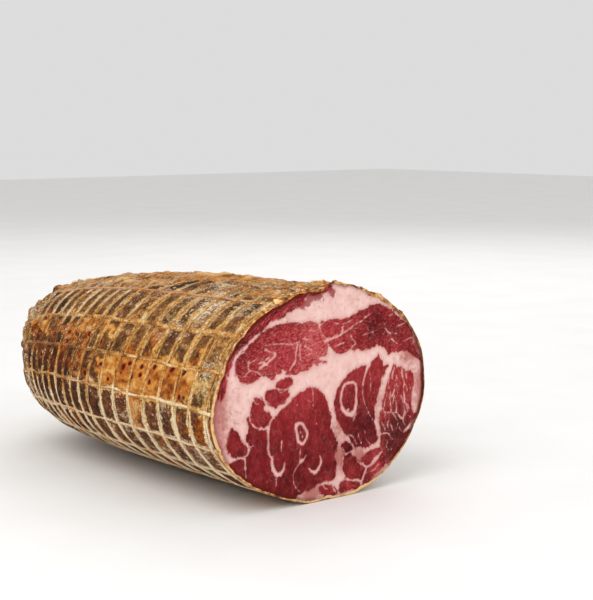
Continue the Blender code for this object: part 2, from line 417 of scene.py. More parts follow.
# The cut face: outlines of the lean, each with the run of its grain in degrees from across, and
# its marbling. Places are across and up, in millimetres.
LEAN = {
    "upper": (12, 0.75, [
        (-48.7, 62.7), (-48.4, 64.8), (-47.4, 66.4), (-45.9, 67.4), (-44, 68.5), (-42.5, 70), (-41.2, 71.1),
        (-39.1, 72.4), (-36.5, 74.2), (-33.9, 76), (-30.8, 76.8), (-27.6, 77.4), (-23.5, 77.9), (-20.3, 78),
        (-17.2, 77.4), (-15.1, 77.4), (-13.6, 76.8), (-12, 77.3), (-9.4, 77.4), (-7.3, 77.2), (-5.8, 76.3),
        (-4.7, 74.7), (-3.4, 72.5), (-1.6, 70.1), (0.2, 68), (0, 65.9), (0.2, 63.8), (0, 62.8),
        (-3.1, 62.2), (-4.7, 60.9), (-1.1, 60.1), (-1.1, 59.6), (-4.7, 59.9), (-5.5, 58.8), (-7.3, 59.9),
        (-8.9, 59.1), (-9.4, 58.1), (-11.5, 57.1), (-13.6, 57.3), (-15.6, 56.9), (-17.7, 56.7),
        (-20.3, 56.8), (-22.4, 57.1), (-21.9, 58.3), (-23.5, 58.6), (-25, 59.4), (-24.8, 58.1),
        (-26.1, 57.5), (-27.4, 58.1), (-28.4, 57.8), (-28.1, 56.8), (-29.2, 55.6), (-31.3, 56.2),
        (-32.1, 57.3), (-34.9, 57.5), (-36, 58.6), (-36, 57.5), (-37, 56.8), (-38.6, 56.2), (-39.9, 55.6),
        (-41.7, 55.4), (-44.3, 55.6), (-45.9, 56.5), (-47.4, 58.1), (-48.7, 60.7)]),
    "islet": (0, 0.2, [(-3.6, 76.8), (-2.6, 77.3), (-1.6, 76.8), (-2.6, 76.3)]),
    "upper_right": (18, 0.55, [
        (-3.6, 74.6), (-2.2, 76.3), (0, 76.8), (3.2, 77.3), (6.3, 77.2), (9.7, 76.9), (15.2, 78.2),
        (17.8, 79.2), (20.4, 79.9), (23, 80.7), (26.1, 81.8), (29.3, 81.8), (31.3, 81.5), (34.5, 79.9),
        (37.6, 78.4), (40.7, 76), (44.9, 73.2), (47.5, 71.6), (49.6, 69), (50.6, 66.4), (50.6, 64.3),
        (49.6, 61.7), (52.2, 60.1), (56.3, 54.4), (54.3, 55.5), (51.6, 57.5), (49, 58.6), (47, 59.6),
        (44.9, 60.1), (41.8, 59.9), (37.6, 60.1), (36.3, 59.4), (35, 60.7), (33.9, 62.7), (31.9, 63.5),
        (29.3, 64.3), (27.2, 63.5), (25.1, 62.9), (23, 62.9), (20.9, 62.5), (18.8, 63.3), (17.3, 63.8),
        (15.7, 63), (14.1, 64.1), (12.6, 63.8), (11, 62.8), (8.4, 62.6), (5.8, 62.8), (4.3, 63.5),
        (3.5, 64.8), (2.4, 65.9), (1.2, 67.2), (0.5, 69.4), (-1.5, 71), (-3.2, 73.2)]),
    "ringed": (72, 0.35, [
        (22.2, 55.5), (20.4, 55.6), (17.8, 55), (14.7, 53.9), (11.5, 52.3), (8.4, 49.7), (6.3, 47.1),
        (5, 44.8), (4.3, 42.3), (4.5, 39.1), (5.3, 36), (6.9, 32.9), (8.7, 30), (10.5, 27.9),
        (13.1, 25.1), (14.7, 22.5), (16.2, 20.9), (18.8, 20.7), (20.9, 20.4), (22.5, 19.4), (25.1, 20.4),
        (27.2, 20.9), (29.3, 22), (29, 23.5), (28.2, 27.2), (27.7, 30.8), (27.7, 34.5), (27.9, 38.1),
        (29.3, 38.6), (29.5, 41.2), (30.3, 44.9), (31.1, 45.6), (31.9, 48.7), (33.4, 51.3), (34.5, 53.1),
        (35.5, 54.3), (32.4, 54.7), (32.1, 56.5), (30.8, 58.1), (30, 59.4), (29.3, 58.6), (27.7, 58.1),
        (26.1, 57), (24.8, 54.9)]),
    "striped": (84, 1.5, [
        (38.6, 53.1), (37.6, 50.8), (36.5, 48.7), (35.5, 46.1), (34.5, 44.9), (33.9, 41.8), (32.6, 38.6),
        (32.4, 35.5), (31.3, 33.9), (30.8, 30.8), (31.3, 27.7), (31.9, 25.6), (33.4, 24), (36, 23.1),
        (38.5, 24), (42, 24.6), (46, 25), (49, 24.6), (50.6, 27.2), (53.2, 30.3), (51.6, 30.8),
        (50.1, 33.4), (50.1, 39.7), (50.6, 41.8), (51.6, 45), (51.4, 47.1), (50.6, 49.2), (49, 50.5),
        (46.4, 50.2), (45.4, 51.3), (43.3, 52.9), (41.2, 52.9), (40.2, 54.2)]),
    "dark_lower": (70, 1.5, [
        (31.5, 21.5), (32.5, 26), (36, 26.5), (38.5, 27), (42, 27.5), (46, 28), (50.5, 28.6), (48.9, 22.5),
        (46.4, 19.5), (44.9, 16.7), (42.3, 13.6), (37.6, 11.4), (34, 10.6), (32.5, 13.5), (32.8, 16),
        (31.8, 18.5)]),
    "great": (88, 0.22, [
        (-9.9, 49.8), (-6.8, 49.2), (-4.7, 48.2), (-2.1, 45.6), (-0.5, 43.3), (1, 39.1), (2.2, 35),
        (1.9, 31.3), (3.7, 28.2), (5.3, 25.1), (6.3, 22.5), (4.3, 18.8), (5.3, 15.7), (4.8, 11.5),
        (3.7, 8.4), (-4.7, 7.9), (-7.8, 6.6), (-11, 5.8), (-14.1, 5.3), (-17.2, 4), (-22, -1), (-45, 2),
        (-60, 14), (-58, 21.5), (-53.1, 22.8), (-51.1, 23.5), (-49.5, 24.3), (-47.4, 24.6), (-45.3, 24.3),
        (-43.8, 24.9), (-41.9, 26.8), (-41.6, 28.6), (-43.5, 32.4), (-42.7, 35), (-42.2, 38.1),
        (-43.3, 40.2), (-42.5, 41.2), (-41, 38.3), (-39.1, 36.2), (-37, 35.2), (-33.9, 35.2), (-32.4, 35),
        (-31.6, 35.2), (-30.8, 36), (-29.7, 38.1), (-27.6, 39.7), (-25.5, 41.8), (-23.5, 43.3),
        (-20.3, 45), (-17.7, 46.6), (-15.1, 48.2), (-12, 49)]),
    "left_top": (25, 0.25, [
        (-28.1, 52.6), (-26.1, 54.2), (-22.9, 55), (-20.3, 55), (-19, 53.9), (-19.3, 52.3), (-20.9, 51.6),
        (-23.5, 50.9), (-25.5, 51.3), (-27.6, 52.1)]),
    "left_second": (30, 0.3, [
        (-33.4, 49.5), (-32.3, 50.8), (-29.7, 51.2), (-26.6, 50.5), (-23.5, 50), (-21.4, 49.7),
        (-21.1, 47.6), (-22.4, 46.1), (-24.5, 44.8), (-26.6, 44.4), (-28.1, 43.3), (-30.8, 45),
        (-32.8, 46.1), (-33.6, 48.2)]),
    "left_third": (115, 0.4, [
        (-38.3, 48.9), (-37, 48.7), (-35.4, 47.6), (-33.9, 45.6), (-34.9, 43.8), (-31.8, 41.8),
        (-30.5, 39.7), (-30.8, 37.6), (-32.3, 36.3), (-33.9, 35.9), (-36, 36.6), (-37, 36), (-39.1, 37),
        (-40.6, 38.3), (-41.4, 40.2), (-41.2, 42.8), (-40.6, 45.4), (-39.6, 48)]),
    "left_fifth": (120, 0.3, [
        (-51.6, 35.8), (-52.9, 33.9), (-53.4, 31.3), (-53.1, 29.3), (-51.6, 27.2), (-49.5, 25.5),
        (-47.4, 25.8), (-45.3, 25.2), (-43.3, 25.8), (-42.4, 27.2), (-42.7, 28.7), (-44.3, 30.8),
        (-46.4, 32.4), (-47.9, 35), (-49.5, 36.8), (-50.8, 37.6)]),
    "low_first": (60, 0.35, [
        (9.4, 17.6), (10.9, 18.2), (13.4, 18.7), (15.3, 17.1), (17.5, 14.8), (20.1, 13), (22.3, 10.6),
        (21.7, 8), (20, 5.7), (16.4, 6.9), (14.2, 6.9), (12, 7.5), (10.2, 9.2), (9.2, 12.7)]),
    "low_second": (20, 0.3, [
        (-3.6, 3.8), (-4.1, 5.8), (-2.7, 6.7), (0.5, 6.3), (3, 5.6), (5.5, 3.9), (6, 2), (3, 1.5),
        (-0.9, 1.9)]),
    "low_third": (10, 0.3, [
        (20.8, 12.5), (19.9, 14.4), (20.8, 15.7), (23, 16.9), (25.2, 17.8), (27.5, 18.3), (31.2, 18.2),
        (32.2, 16.4), (28.3, 14.3), (25.7, 11.6), (22.7, 11.5)]),
    "low_ground": (35, 0.5, [
        (8.6, 6.5), (7.4, 4.2), (7.7, 2.1), (11.3, 2.2), (15.3, 2.5), (19.4, 2.4), (22.7, 3.7), (26.1, 5.7),
        (29.4, 7.7), (33.2, 9.6), (38.1, 12.8), (36, 15.4), (32.9, 16), (29.4, 12.7), (26, 10.5),
        (23.6, 10.3), (22.7, 8.3), (21, 4.8), (17.2, 5.4), (14.6, 5.6), (12, 6.5)]),
    "small_dark": (0, 0.2, [
        (8.6, 22.8), (11, 23.5), (13.4, 22.3), (15, 20.5), (13, 19), (10.5, 19), (9, 20.5)]),
    "rim_strip": (35, 0.6, [
        (-12.5, 87.5), (-12.8, 85.7), (-16.7, 84.1), (-20.9, 82.8), (-23.5, 81.5), (-25.5, 80.4),
        (-29.7, 79.9), (-32.8, 78.1), (-35.4, 76), (-38.6, 74.5), (-41.7, 72.9), (-43.8, 71.1),
        (-47.9, 68.7), (-49.8, 65.9), (-51.8, 61.7), (-52.6, 59.6), (-53.8, 60.2), (-55.5, 63.3),
        (-54.6, 67.5), (-51.8, 71.5), (-46.8, 77.4), (-41.8, 81.5), (-35.2, 85.4), (-26, 87.6),
        (-18.6, 90.6), (-8, 92.5), (2, 92), (1.5, 89.6), (-3, 89.2), (-8, 88.6)]),
    "rim_strip_low": (80, 0.5, [
        (-53.4, 57.3), (-54.2, 53.9), (-56.3, 50.2), (-57.8, 50.8), (-58.4, 52.9), (-57, 57.6), (-55, 60)]),
}

BANDED = [list(LEAN).index(name) for name in ("rim_strip", "rim_strip_low")]

# Seams of fat through the lean: width at the start and at the end, then the places along it
SEAMS = [
    (1.0, 1.3, [(-33.5, 68.2), (-30.8, 66.9), (-28, 65.6), (-30.5, 63.8), (-32.3, 62.7), (-34.4, 61.7),
                (-36.5, 60.7)]),
    (2.0, 1.2, [(-34, 62.4), (-32.5, 61.6)]),
    (0.5, 0.8, [(-44.3, 58.1), (-41.7, 60.1), (-38, 59.4), (-36, 58)]),
    (0.7, 0.3, [(-42.5, 63.3), (-38.5, 64.5)]),
    (0.5, 0.6, [(-33.1, 69.9), (-25.5, 69.9), (-19.3, 69), (-15.1, 69.5)]),
    (1.1, 1.0, [(-16.2, 68.5), (-17.2, 64.8), (-17.7, 61.7), (-20.3, 58.6)]),
    (0.9, 0.7, [(-14.9, 68.5), (-15, 65), (-14.6, 62)]),
    (0.8, 0.6, [(-31.6, 64.8), (-34.6, 63.4), (-37.5, 62.8)]),
    (0.6, 0.5, [(-41.5, 64.8), (-42.4, 62.2), (-41.9, 60.2)]),
    (0.5, 0.5, [(-12.5, 70.6), (-9.4, 70)]),
    (0.5, 0.4, [(-12, 67.4), (-8.4, 65.4)]),
    (0.5, 0.4, [(-12, 63.8), (-6.8, 64.3)]),
    (0.5, 0.4, [(-9.9, 74.2), (-6.8, 73.2)]),
    (1.5, 1.3, [(-1.2, 68.4), (0, 68.9), (2.4, 69.3), (4.8, 69.8), (8.5, 71), (8.8, 73.8)]),
    (0.9, 0.4, [(9.2, 71.1), (13.6, 72.9), (15.7, 74.2), (19.9, 75.5), (22.5, 77.1), (26, 78.5)]),
    (0.5, 0.4, [(3.5, 65.9), (6.3, 66.4), (9.5, 66.9)]),
    (0.6, 0.8, [(13.6, 70), (14.7, 68), (16.2, 65.9), (13.6, 64.1)]),
    (0.4, 0.6, [(20.4, 69), (24, 69.8), (26.6, 69.9)]),
    (0.5, 0.5, [(23.5, 72.1), (23.8, 70.6)]),
    (0.4, 0.4, [(15.2, 72.6), (17.8, 72.4)]),
    (0.5, 0.7, [(33.9, 70.8), (36.5, 68.5), (40.7, 68)]),
    (0.6, 0.5, [(37.6, 65.9), (41.2, 63.5)]),
    (0.4, 0.6, [(40.7, 71.1), (46.4, 72.4)]),
    (0.4, 0.6, [(44.9, 64.1), (49.6, 65.5)]),
    (0.4, 0.4, [(36.5, 76.3), (40.7, 77.3)]),
    (0.4, 0.4, [(4, 76), (9, 75), (14.5, 76.6)]),
    (1.9, 0.9, [(23.5, 55.2), (22.5, 52.9), (21.2, 49.7), (20.7, 47.1)]),
    (0.6, 0.1, [(20.7, 47.1), (20.9, 42.8), (22.5, 38.1), (24.6, 34.5), (27.2, 30.6)]),
    (1.6, 2.6, [(8.5, 40), (9.8, 37.4), (12.2, 35.6), (14.4, 35.4)]),
    (2.6, 1.4, [(14.4, 35.4), (16, 37), (16.7, 39.5)]),
    (0.4, 0.3, [(25, 52), (25.3, 48), (25.5, 44)]),
    (0.2, 0.4, [(17.8, 27), (19, 24), (20, 22)]),
    (0.3, 0.5, [(22, 27), (23, 23), (25, 21)]),
    (0.3, 0.4, [(12, 27), (14, 26)]),
    (1.2, 0.6, [(16.4, 34.9), (15.2, 32.4)]),
    (1.0, 0.6, [(44, 53), (44.3, 50.9), (44.6, 48.6), (45.6, 46.3), (45.6, 44), (45.3, 42.3), (45.7, 40)]),
    (0.7, 1.6, [(45.7, 40), (46, 38.4), (46, 36.8)]),
    (0.7, 0.5, [(40.8, 49.3), (41, 47.7), (40.1, 46.5), (39.8, 44.7)]),
    (0.7, 0.9, [(39.7, 52.8), (38.5, 50.7), (38.2, 48.2)]),
    (0.9, 0.6, [(36.7, 48.6), (36.1, 46.9), (35.8, 45.2), (36.7, 43.7)]),
    (0.6, 0.8, [(41, 45.5), (40.4, 44.4), (39.8, 42.9), (38.9, 41.3), (38.3, 40.4)]),
    (0.7, 0.5, [(41.9, 44.5), (41.6, 42.7), (41.7, 40.9), (40.8, 39.7), (40.5, 37.9)]),
    (0.7, 0.6, [(37.1, 42.4), (37.4, 41), (37.1, 39.7), (37.3, 37.9), (37.8, 33.3)]),
    (0.6, 0.8, [(35.2, 42.6), (34.9, 40.8), (34.1, 38.7), (32.9, 34.4)]),
    (0.5, 0.4, [(39.8, 40.7), (39.4, 39), (38.9, 37.2)]),
    (0.5, 0.4, [(40.8, 37.9), (41, 35.6), (41.3, 33.3)]),
    (0.6, 0.5, [(43.8, 40.2), (44.8, 37.9), (45.7, 35), (46.1, 32.7), (46.4, 30.9)]),
    (0.7, 0.6, [(46.3, 36.8), (47, 35.3), (48.2, 32.5)]),
    (0.6, 0.6, [(47.3, 36.2), (48.5, 34.7), (49.2, 33.2)]),
    (0.6, 0.8, [(32.9, 34.4), (34.7, 33.5), (37.8, 33.3), (39, 32.7), (40.5, 33), (41.8, 32.2),
                (43.6, 30.1), (44.9, 29.6)]),
    (0.5, 0.2, [(34.4, 34), (34.1, 31.6)]),
    (0.8, 0.4, [(36.8, 33), (36.6, 29.9), (35.7, 28.7), (36.6, 25.4)]),
    (0.7, 0.4, [(39, 32.5), (40.9, 30), (41.8, 28.8), (42.1, 26.9), (41.5, 25.7)]),
    (0.4, 0.4, [(31.7, 30.1), (33.6, 27.2), (34.2, 25.8)]),
    (0.4, 0.4, [(37.5, 28), (38.8, 25.1)]),
    (0.5, 0.4, [(45.8, 32.3), (45.5, 29.7), (45.5, 27.8), (46.5, 26.4)]),
    (0.3, 0.3, [(46.4, 32.7), (48.3, 30.6), (49.5, 29.6)]),
    (0.6, 0.5, [(46.5, 44.8), (47.5, 42.9), (47.5, 41.6)]),
    (0.7, 0.5, [(48.7, 44.6), (49.7, 42.2)]),
    (0.6, 0.8, [(46.8, 49.3), (47.4, 47.4)]),
    (0.4, 0.4, [(42.7, 26), (44.6, 23.4)]),
    (0.7, 0.6, [(31, 24.1), (33, 24.4), (36, 24), (37.6, 22.3), (38.5, 20.9)]),
    (0.4, 0.3, [(34.5, 21.5), (35.9, 19.7), (34.9, 18.7), (36.7, 16.2), (38.5, 16.8)]),
    (2.6, 0.8, [(50.5, 26), (47.7, 24.6), (45.6, 23.3)]),
    (0.2, 0.4, [(14, 26.7), (16, 24), (17.3, 21.9)]),
    (1.2, 1.3, [(-19, 46.5), (-23, 43.8), (-25.5, 43), (-28, 40.6), (-30.5, 38.5), (-31.8, 35.7), (-32, 30),
                (-32, 26), (-30.5, 22.5)]),
    (2.4, 1.4, [(-26, 43.2), (-29, 40.7)]),
    (1.5, 2.3, [(-30.2, 23), (-30, 19.4), (-28.9, 16.9), (-27.3, 15.2)]),
    (2.3, 0.9, [(-27.3, 15.2), (-25.5, 15.3), (-24, 16.9), (-23.2, 19.4)]),
    (0.8, 2.2, [(-9.9, 15.2), (-8.4, 13.7), (-6.5, 13)]),
    (2.2, 1.5, [(-6.5, 13), (-4.7, 14.3), (-3.3, 16.4)]),
    (1.5, 0.6, [(-3.3, 16.4), (-3.2, 18.3), (-4.2, 19.8)]),
    (1.9, 0.6, [(-14.4, 19), (-13, 19.6), (-11.7, 20.9)]),
    (0.3, 0.4, [(-14.2, 26), (-14.8, 23), (-15, 20)]),
    (0.4, 0.3, [(-14.8, 18.6), (-16.6, 16.8), (-18.8, 14.1)]),
    (0.5, 0.4, [(-18.8, 14.1), (-18.3, 10), (-15.1, 5.8)]),
    (0.6, 0.4, [(-27.9, 13.6), (-27.9, 10.5)]),
    (0.9, 0.4, [(-8.6, 49.8), (-7.8, 47.5), (-7.6, 41.8)]),
    (0.4, 0.4, [(-12, 45.4), (-8.4, 43.3)]),
    (0.5, 0.3, [(-24.8, 29), (-25, 25)]),
    (0.8, 0.8, [(-46.4, 32.8), (-44.3, 30.8), (-41.9, 29), (-40.1, 29.3)]),
    (0.8, 0.8, [(-42.2, 28), (-43.5, 25.5), (-49.5, 25)]),
    (0.9, 0.6, [(-44.3, 24.6), (-44, 20.9), (-43.8, 16.7)]),
    (0.8, 0.6, [(-41, 39), (-39.1, 36.8), (-37, 35.8), (-33.9, 35.6), (-32.1, 35.5)]),
    (1.1, 0.8, [(-37.5, 50), (-35, 47.6), (-31.5, 45.5)]),
    (0.7, 0.5, [(-22, 46.3), (-24.6, 44.4)]),
    (0.6, 1.8, [(32.4, 16.2), (30.5, 14.9), (28.3, 13.7)]),
    (1.8, 1.2, [(28.3, 13.7), (25.7, 11.3), (22.7, 11), (20.8, 12.4)]),
    (1.0, 0.5, [(20.8, 12.4), (19, 13.5), (17.5, 14.5)]),
    (1.0, 1.4, [(23.4, 10.8), (22.3, 8.5), (20.9, 6), (20.1, 4.1)]),
    (1.0, 1.1, [(20.1, 5), (16.4, 6.4), (14.6, 6)]),
    (0.8, 0.9, [(9.4, 18.2), (9.1, 15.5), (8.7, 12.3), (10.2, 8.7), (12, 7.1), (14.4, 6.3)]),
    (0.8, 0.8, [(9.1, 21.5), (9.9, 19.8), (11.2, 18.4), (13.8, 19.1), (16.4, 17.2)]),
    (0.7, 0.5, [(-2, 6.8), (-0.9, 5.1), (0.4, 4.5)]),
    (0.9, 0.6, [(3.4, 4.9), (5.4, 2.4)]),
    (0.3, 0.25, [(-28, 52.1), (-25.7, 49.6), (-23.4, 49.8)]),
    (0.5, 0.6, [(-39.7, 48.8), (-38.6, 46.6), (-37.1, 46.1)]),
    (0.4, 0.6, [(-34.1, 44.8), (-31.8, 43.6), (-30.3, 41.7)]),
    (0.5, 0.5, [(-41.2, 42.5), (-41.2, 39.5), (-39.4, 37.2)]),
    (0.4, 0.3, [(25.5, 8.5), (28, 9), (30.5, 11)]),
]

# Closed rings of fat: width, then the places round it
RINGS = [
    (1.6, [(-17.3, 34.2), (-15.6, 35.3), (-13.6, 34.8), (-12.2, 32.8), (-10.9, 30.7), (-11.6, 28.2),
           (-13, 26.5), (-14.4, 26.5), (-15.7, 27.7), (-16.4, 29.8), (-16.8, 32)]),
    (1.5, [(10.8, 48.9), (13.2, 49.3), (15.8, 48.8), (17, 46.5), (16.9, 43), (16.9, 39.5), (16.2, 36.3),
           (14.6, 34.6), (12.2, 35.3), (9.8, 37.2), (8.3, 40), (8, 43), (8.6, 46.2), (9.7, 48.2)]),
]

# Dots of fat: across, up, radius
DOTS = [(-42.5, 63.5, 0.4), (-16.2, 43.3, 0.35), (-5.8, 33.9, 0.4), (12.3, 37.5, 0.6), (-14.6, 31.5, 0.5),
        (-13.6, 29.3, 0.4), (-16.9, 34.6, 1.1)]

# Lighter places of the lean, and darker ones where the strength is below nothing: across, up,
# reach, strength
TONES = [(39, 29, 6, -0.3), (39.5, 40, 6, -0.12), (28, 73, 9, -0.65), (8, 74, 10, 0.05),
         (-25, 66, 11, 0.25), (-6, 68, 9, 0.42), (40, 17, 7, -0.5), (47, 26, 5, -0.15), (35, 32, 5, 0.2),
         (25, 27, 8, -0.2), (44, 27, 8, -0.05), (51, 58, 6, -0.45), (-30, 83, 14, -0.5), (-46, 73, 5, -0.4),
         (-50, 68, 9, -0.3), (0, 90, 6, -0.3), (41, 48, 7, 0.1), (-12, 46, 9, 0.3), (27, 17, 5, 0.5),
         (14, 13, 6, 0.2), (30, 9, 6, 0.5), (13, 4, 5, 0.45), (41, 20, 5, 0.15), (0, 5, 5, 0.5),
         (12, 21, 4, -0.4), (19, 32, 7, -0.15), (42, 70, 7, -0.3), (-25, 75, 6, 0.2), (43, 28, 7, -0.15),
         (12, 42, 4, -0.05), (-22, 32, 12, 0.15), (-36, 42, 6, 0.15), (-48, 31, 5, 0.15),
         (-36, 18, 7, 0.15), (-5, 25, 8, 0.12), (-22, 12, 9, -0.1)]

# Redder places of the fat, in the same order
BLUSHES = [(-63, 41, 13, 1.05), (-60, 28, 7, 0.8), (-59, 52, 7, 0.6), (58, 46, 6, 1.35), (57, 36, 6, 1.1),
           (-20, 80, 5, 0.3), (50, 57, 6, 0.5), (3, 88, 4, 0.4), (-5, 88.5, 4, 0.5), (30, 40, 4, 0.6),
           (7, 14, 5, 0.6), (6, 29, 5, 0.6), (6.5, 19, 3.5, 1.0), (-9.4, 4, 3, 0.9), (19.5, 15.4, 2.5, 0.9),
           (25, 4.7, 3, 0.7), (-8, 6, 6, 1.0), (52, 62, 5, 1.1), (36, 66, 5, 0.3), (31, 24, 4, 0.6),
           (16, 20, 8, 0.9), (27, 8, 6, 0.8), (45, 57, 5, 0.4), (31, 32, 4, 0.6), (30, 48, 4, 0.5),
           (7, 33, 4, 0.5), (20, 88, 8, 0.3), (24, 50, 5, 0.2)]

# Dark red stains in the fat, in the same order
STAINS = [(3, 89, 3, 0.8), (-5, 88.5, 3, 0.9), (-10, 86.5, 3, 0.8), (-1, 85.5, 2, 0.45),
          (-14, 84.5, 2.5, 0.7), (52.5, 61, 2.5, 0.8), (-57, 34, 3, 0.3), (-58, 44, 3, 0.3),
          (53, 40, 2, 0.4), (55, 50, 2, 0.4), (48, 60.5, 3, 0.35), (55, 56, 3, 0.45), (-26, 80.5, 2, 0.6)]

# Pores in the fat, in the same order
PORES = [(-15, 81, 0.4, 0.7), (-13.4, 80.4, 0.4, 0.5), (-8.5, 80.4, 0.5, 0.7), (-7, 79.2, 0.4, 0.8),
         (-1.8, 80.8, 0.5, 0.7), (0.2, 80.2, 0.4, 0.5), (-11, 82.6, 0.4, 0.5), (4, 84.5, 0.4, 0.4),
         (-20.5, 79.4, 0.5, 0.6)]

# The casing's edge on the face: angle round the section, width in millimetres, how bright it is
# (its own tan and orange, and partly painted shadow where it is dark), and how dark the meat
# beside it is: its dried edge, and painted shadow under the casing's lip
EDGE = [(0, 0.4, 0.2, 1), (25, 0.7, 0.35, 0.7), (38, 1.6, 0.45, 0.25), (58, 1.5, 0.45, 0.25),
        (72, 0.4, 0.45, 0.35), (90, 0.2, 0.36, 0.6), (118, 0.3, 0.42, 0.9), (140, 0.3, 0.5, 0.9),
        (160, 0.6, 0.55, 0.7), (185, 1.1, 0.85, 0.3), (215, 0.7, 0.5, 0.7), (240, 0.5, 0.45, 0.8),
        (270, 0.9, 0.85, 0.35), (300, 1.2, 1, 0.15), (318, 0.7, 0.55, 0.5), (345, 0.5, 0.35, 0.9),
        (360, 0.4, 0.2, 1)]
EDGE_ANGLES, EDGE_WIDTHS, EDGE_BRIGHTNESS, EDGE_DRIED_AND_SHADOW = zip(*EDGE)


def smooth_line(places, closed, pieces=4):
    """A curve through the places: Catmull-Rom, so each stretch is a cubic of four neighbours."""
    p = np.array(places, float)
    if closed:
        p = np.vstack([p[-1:], p, p[:2]])
    else:
        p = np.vstack([2 * p[0] - p[1], p, 2 * p[-1] - p[-2]])
    a, b, c, d = p[:-3, None], p[1:-2, None], p[2:-1, None], p[3:, None]
    s = (np.arange(pieces) / pieces)[None, :, None]
    square = (2 * a - 5 * b + 4 * c - d) * s ** 2
    cube = (3 * b - a - 3 * c + d) * s ** 3
    curve = 0.5 * (2 * b + (c - a) * s + square + cube)
    return np.vstack([curve.reshape(-1, 2), p[-2][None, :]])


def away_from(places, line, widths=(0.0, 0.0)):
    """Distance to a line less half its width, which runs evenly from its start to its end."""
    steps = np.hypot(*np.diff(line, axis=0).T)
    run = np.concatenate([[0.0], np.cumsum(steps)]) / max(steps.sum(), 1e-9)
    best = np.full(len(places), np.inf)
    for k in range(len(line) - 1):
        along = line[k + 1] - line[k]
        share = np.clip((places - line[k]) @ along / max(along @ along, 1e-12), 0.0, 1.0)
        gap = np.hypot(*(places - line[k] - share[:, None] * along).T)
        part_way = run[k] + share * (run[k + 1] - run[k])
        half = 0.5 * (widths[0] + (widths[1] - widths[0]) * part_way)
        best = np.minimum(best, gap - half)
    return best


def inside(places, line):
    """Whether each place is inside a closed line, by counting the sides to its right."""
    odd = np.zeros(len(places), bool)
    for (y0, z0), (y1, z1) in zip(line[:-1], line[1:]):
        if z0 == z1:
            continue
        spans = (z0 > places[:, 1]) != (z1 > places[:, 1])
        odd ^= spans & (places[:, 0] < y0 + (places[:, 1] - z0) * (y1 - y0) / (z1 - z0))
    return odd


def near_box(places, line, margin):
    """Which places lie within a margin of a line's box."""
    low = line.min(axis=0) - margin
    high = line.max(axis=0) + margin
    return np.all((places > low) & (places < high), axis=1)


def face_pattern(places):
    """What the cut face's finish reads at each place.

    lean is the depth inside the lean, in millimetres, and below nothing in the fat. Seams, rings
    and dots are cut out of it. grain holds the place turned to run along the muscle's fibres.
    """
    reach = 6.0
    line_reach = 3.0
    lean = np.full(len(places), -reach)
    grain_at = np.zeros(len(places))
    marbling = np.zeros(len(places))
    number = np.zeros(len(places))
    for k, (run, marbled, outline) in enumerate(LEAN.values()):
        line = smooth_line(outline, True)
        near = np.flatnonzero(near_box(places, line, reach))
        depth = away_from(places[near], line)
        depth = np.where(inside(places[near], line), depth, -depth)
        better = depth > lean[near]
        chosen = near[better]
        lean[chosen] = depth[better]
        grain_at[chosen] = math.radians(run)
        marbling[chosen] = marbled
        number[chosen] = k
    fat = np.full(len(places), reach)
    lines = [(w0, w1, smooth_line(line, False)) for w0, w1, line in SEAMS]
    lines += [(w, w, smooth_line(line, True)) for w, line in RINGS]
    for start, end, line in lines:
        near = np.flatnonzero(near_box(places, line, line_reach))
        fat[near] = np.minimum(fat[near], away_from(places[near], line, (start, end)))
    for y, z, radius in DOTS:
        fat = np.minimum(fat, np.hypot(places[:, 0] - y, places[:, 1] - z) - radius)
    along = places[:, 0] * np.cos(grain_at) + places[:, 1] * np.sin(grain_at)
    across = places[:, 1] * np.cos(grain_at) - places[:, 0] * np.sin(grain_at)
    marbling += 0.45 * ease(places[:, 0], -18.0, -8.0) * (number == 0)
    return {
        "lean": lean,
        "seam": fat,
        "marbling": marbling,
        "grain": np.stack([along, across, 3.7 * number], axis=1),
        "banded": np.isin(number, BANDED).astype(float),
        "tone": 0.5 * ease(places[:, 1], 22.0, 62.0) - 0.35 + spots(places, TONES),
        "blush": np.clip(spots(places, BLUSHES), 0.0, 1.5),
        "stain": np.clip(spots(places, STAINS), 0.0, 1.0),
        "pore": np.clip(spots(places, PORES), 0.0, 1.0),
    }


def spots(places, table):
    """Sum of bell curves: each about its own place, with its own reach and strength."""
    total = np.zeros(len(places))
    for y, z, reach, strength in table:
        away = ((places[:, 0] - y) ** 2 + (places[:, 1] - z) ** 2) / reach ** 2
        total += strength * np.exp(-away)
    return total


# Meshes

def ring_quads(rows, columns, wrap_rows=False):
    """Corner numbers of the quads of a grid whose columns close on themselves."""
    corner = np.arange(rows * columns).reshape(rows, columns)
    if wrap_rows:
        corner = np.vstack([corner, corner[:1]])
    beside = np.roll(corner, -1, axis=1)
    return np.stack([corner[:-1], corner[1:], beside[1:], beside[:-1]], axis=-1).reshape(-1, 4)


def fan(ring, tip, turned=False):
    """Triangles from a ring of corners to a tip; turned makes them face the other way."""
    beside = np.roll(ring, -1)
    pair = [ring, beside] if turned else [beside, ring]
    return np.stack(pair + [np.full(len(ring), tip)], axis=1)


def end_fans(rows, sides, turned=False):
    """Fans that close both ends of a tube, onto two tips numbered after its own corners."""
    first = np.arange(sides)
    tips = rows * sides
    return np.vstack([fan(first, tips, turned), fan(first + tips - sides, tips + 1, not turned)])


def stack_up(parts):
    """Many small shapes as one: their points, and their quads and caps numbered on in turn."""
    starts = np.cumsum([0] + [len(part[0]) for part in parts[:-1]])
    quads = np.vstack([part[1] + start for part, start in zip(parts, starts)])
    caps = np.vstack([part[2] + start for part, start in zip(parts, starts)])
    return np.vstack([part[0] for part in parts]), quads, caps


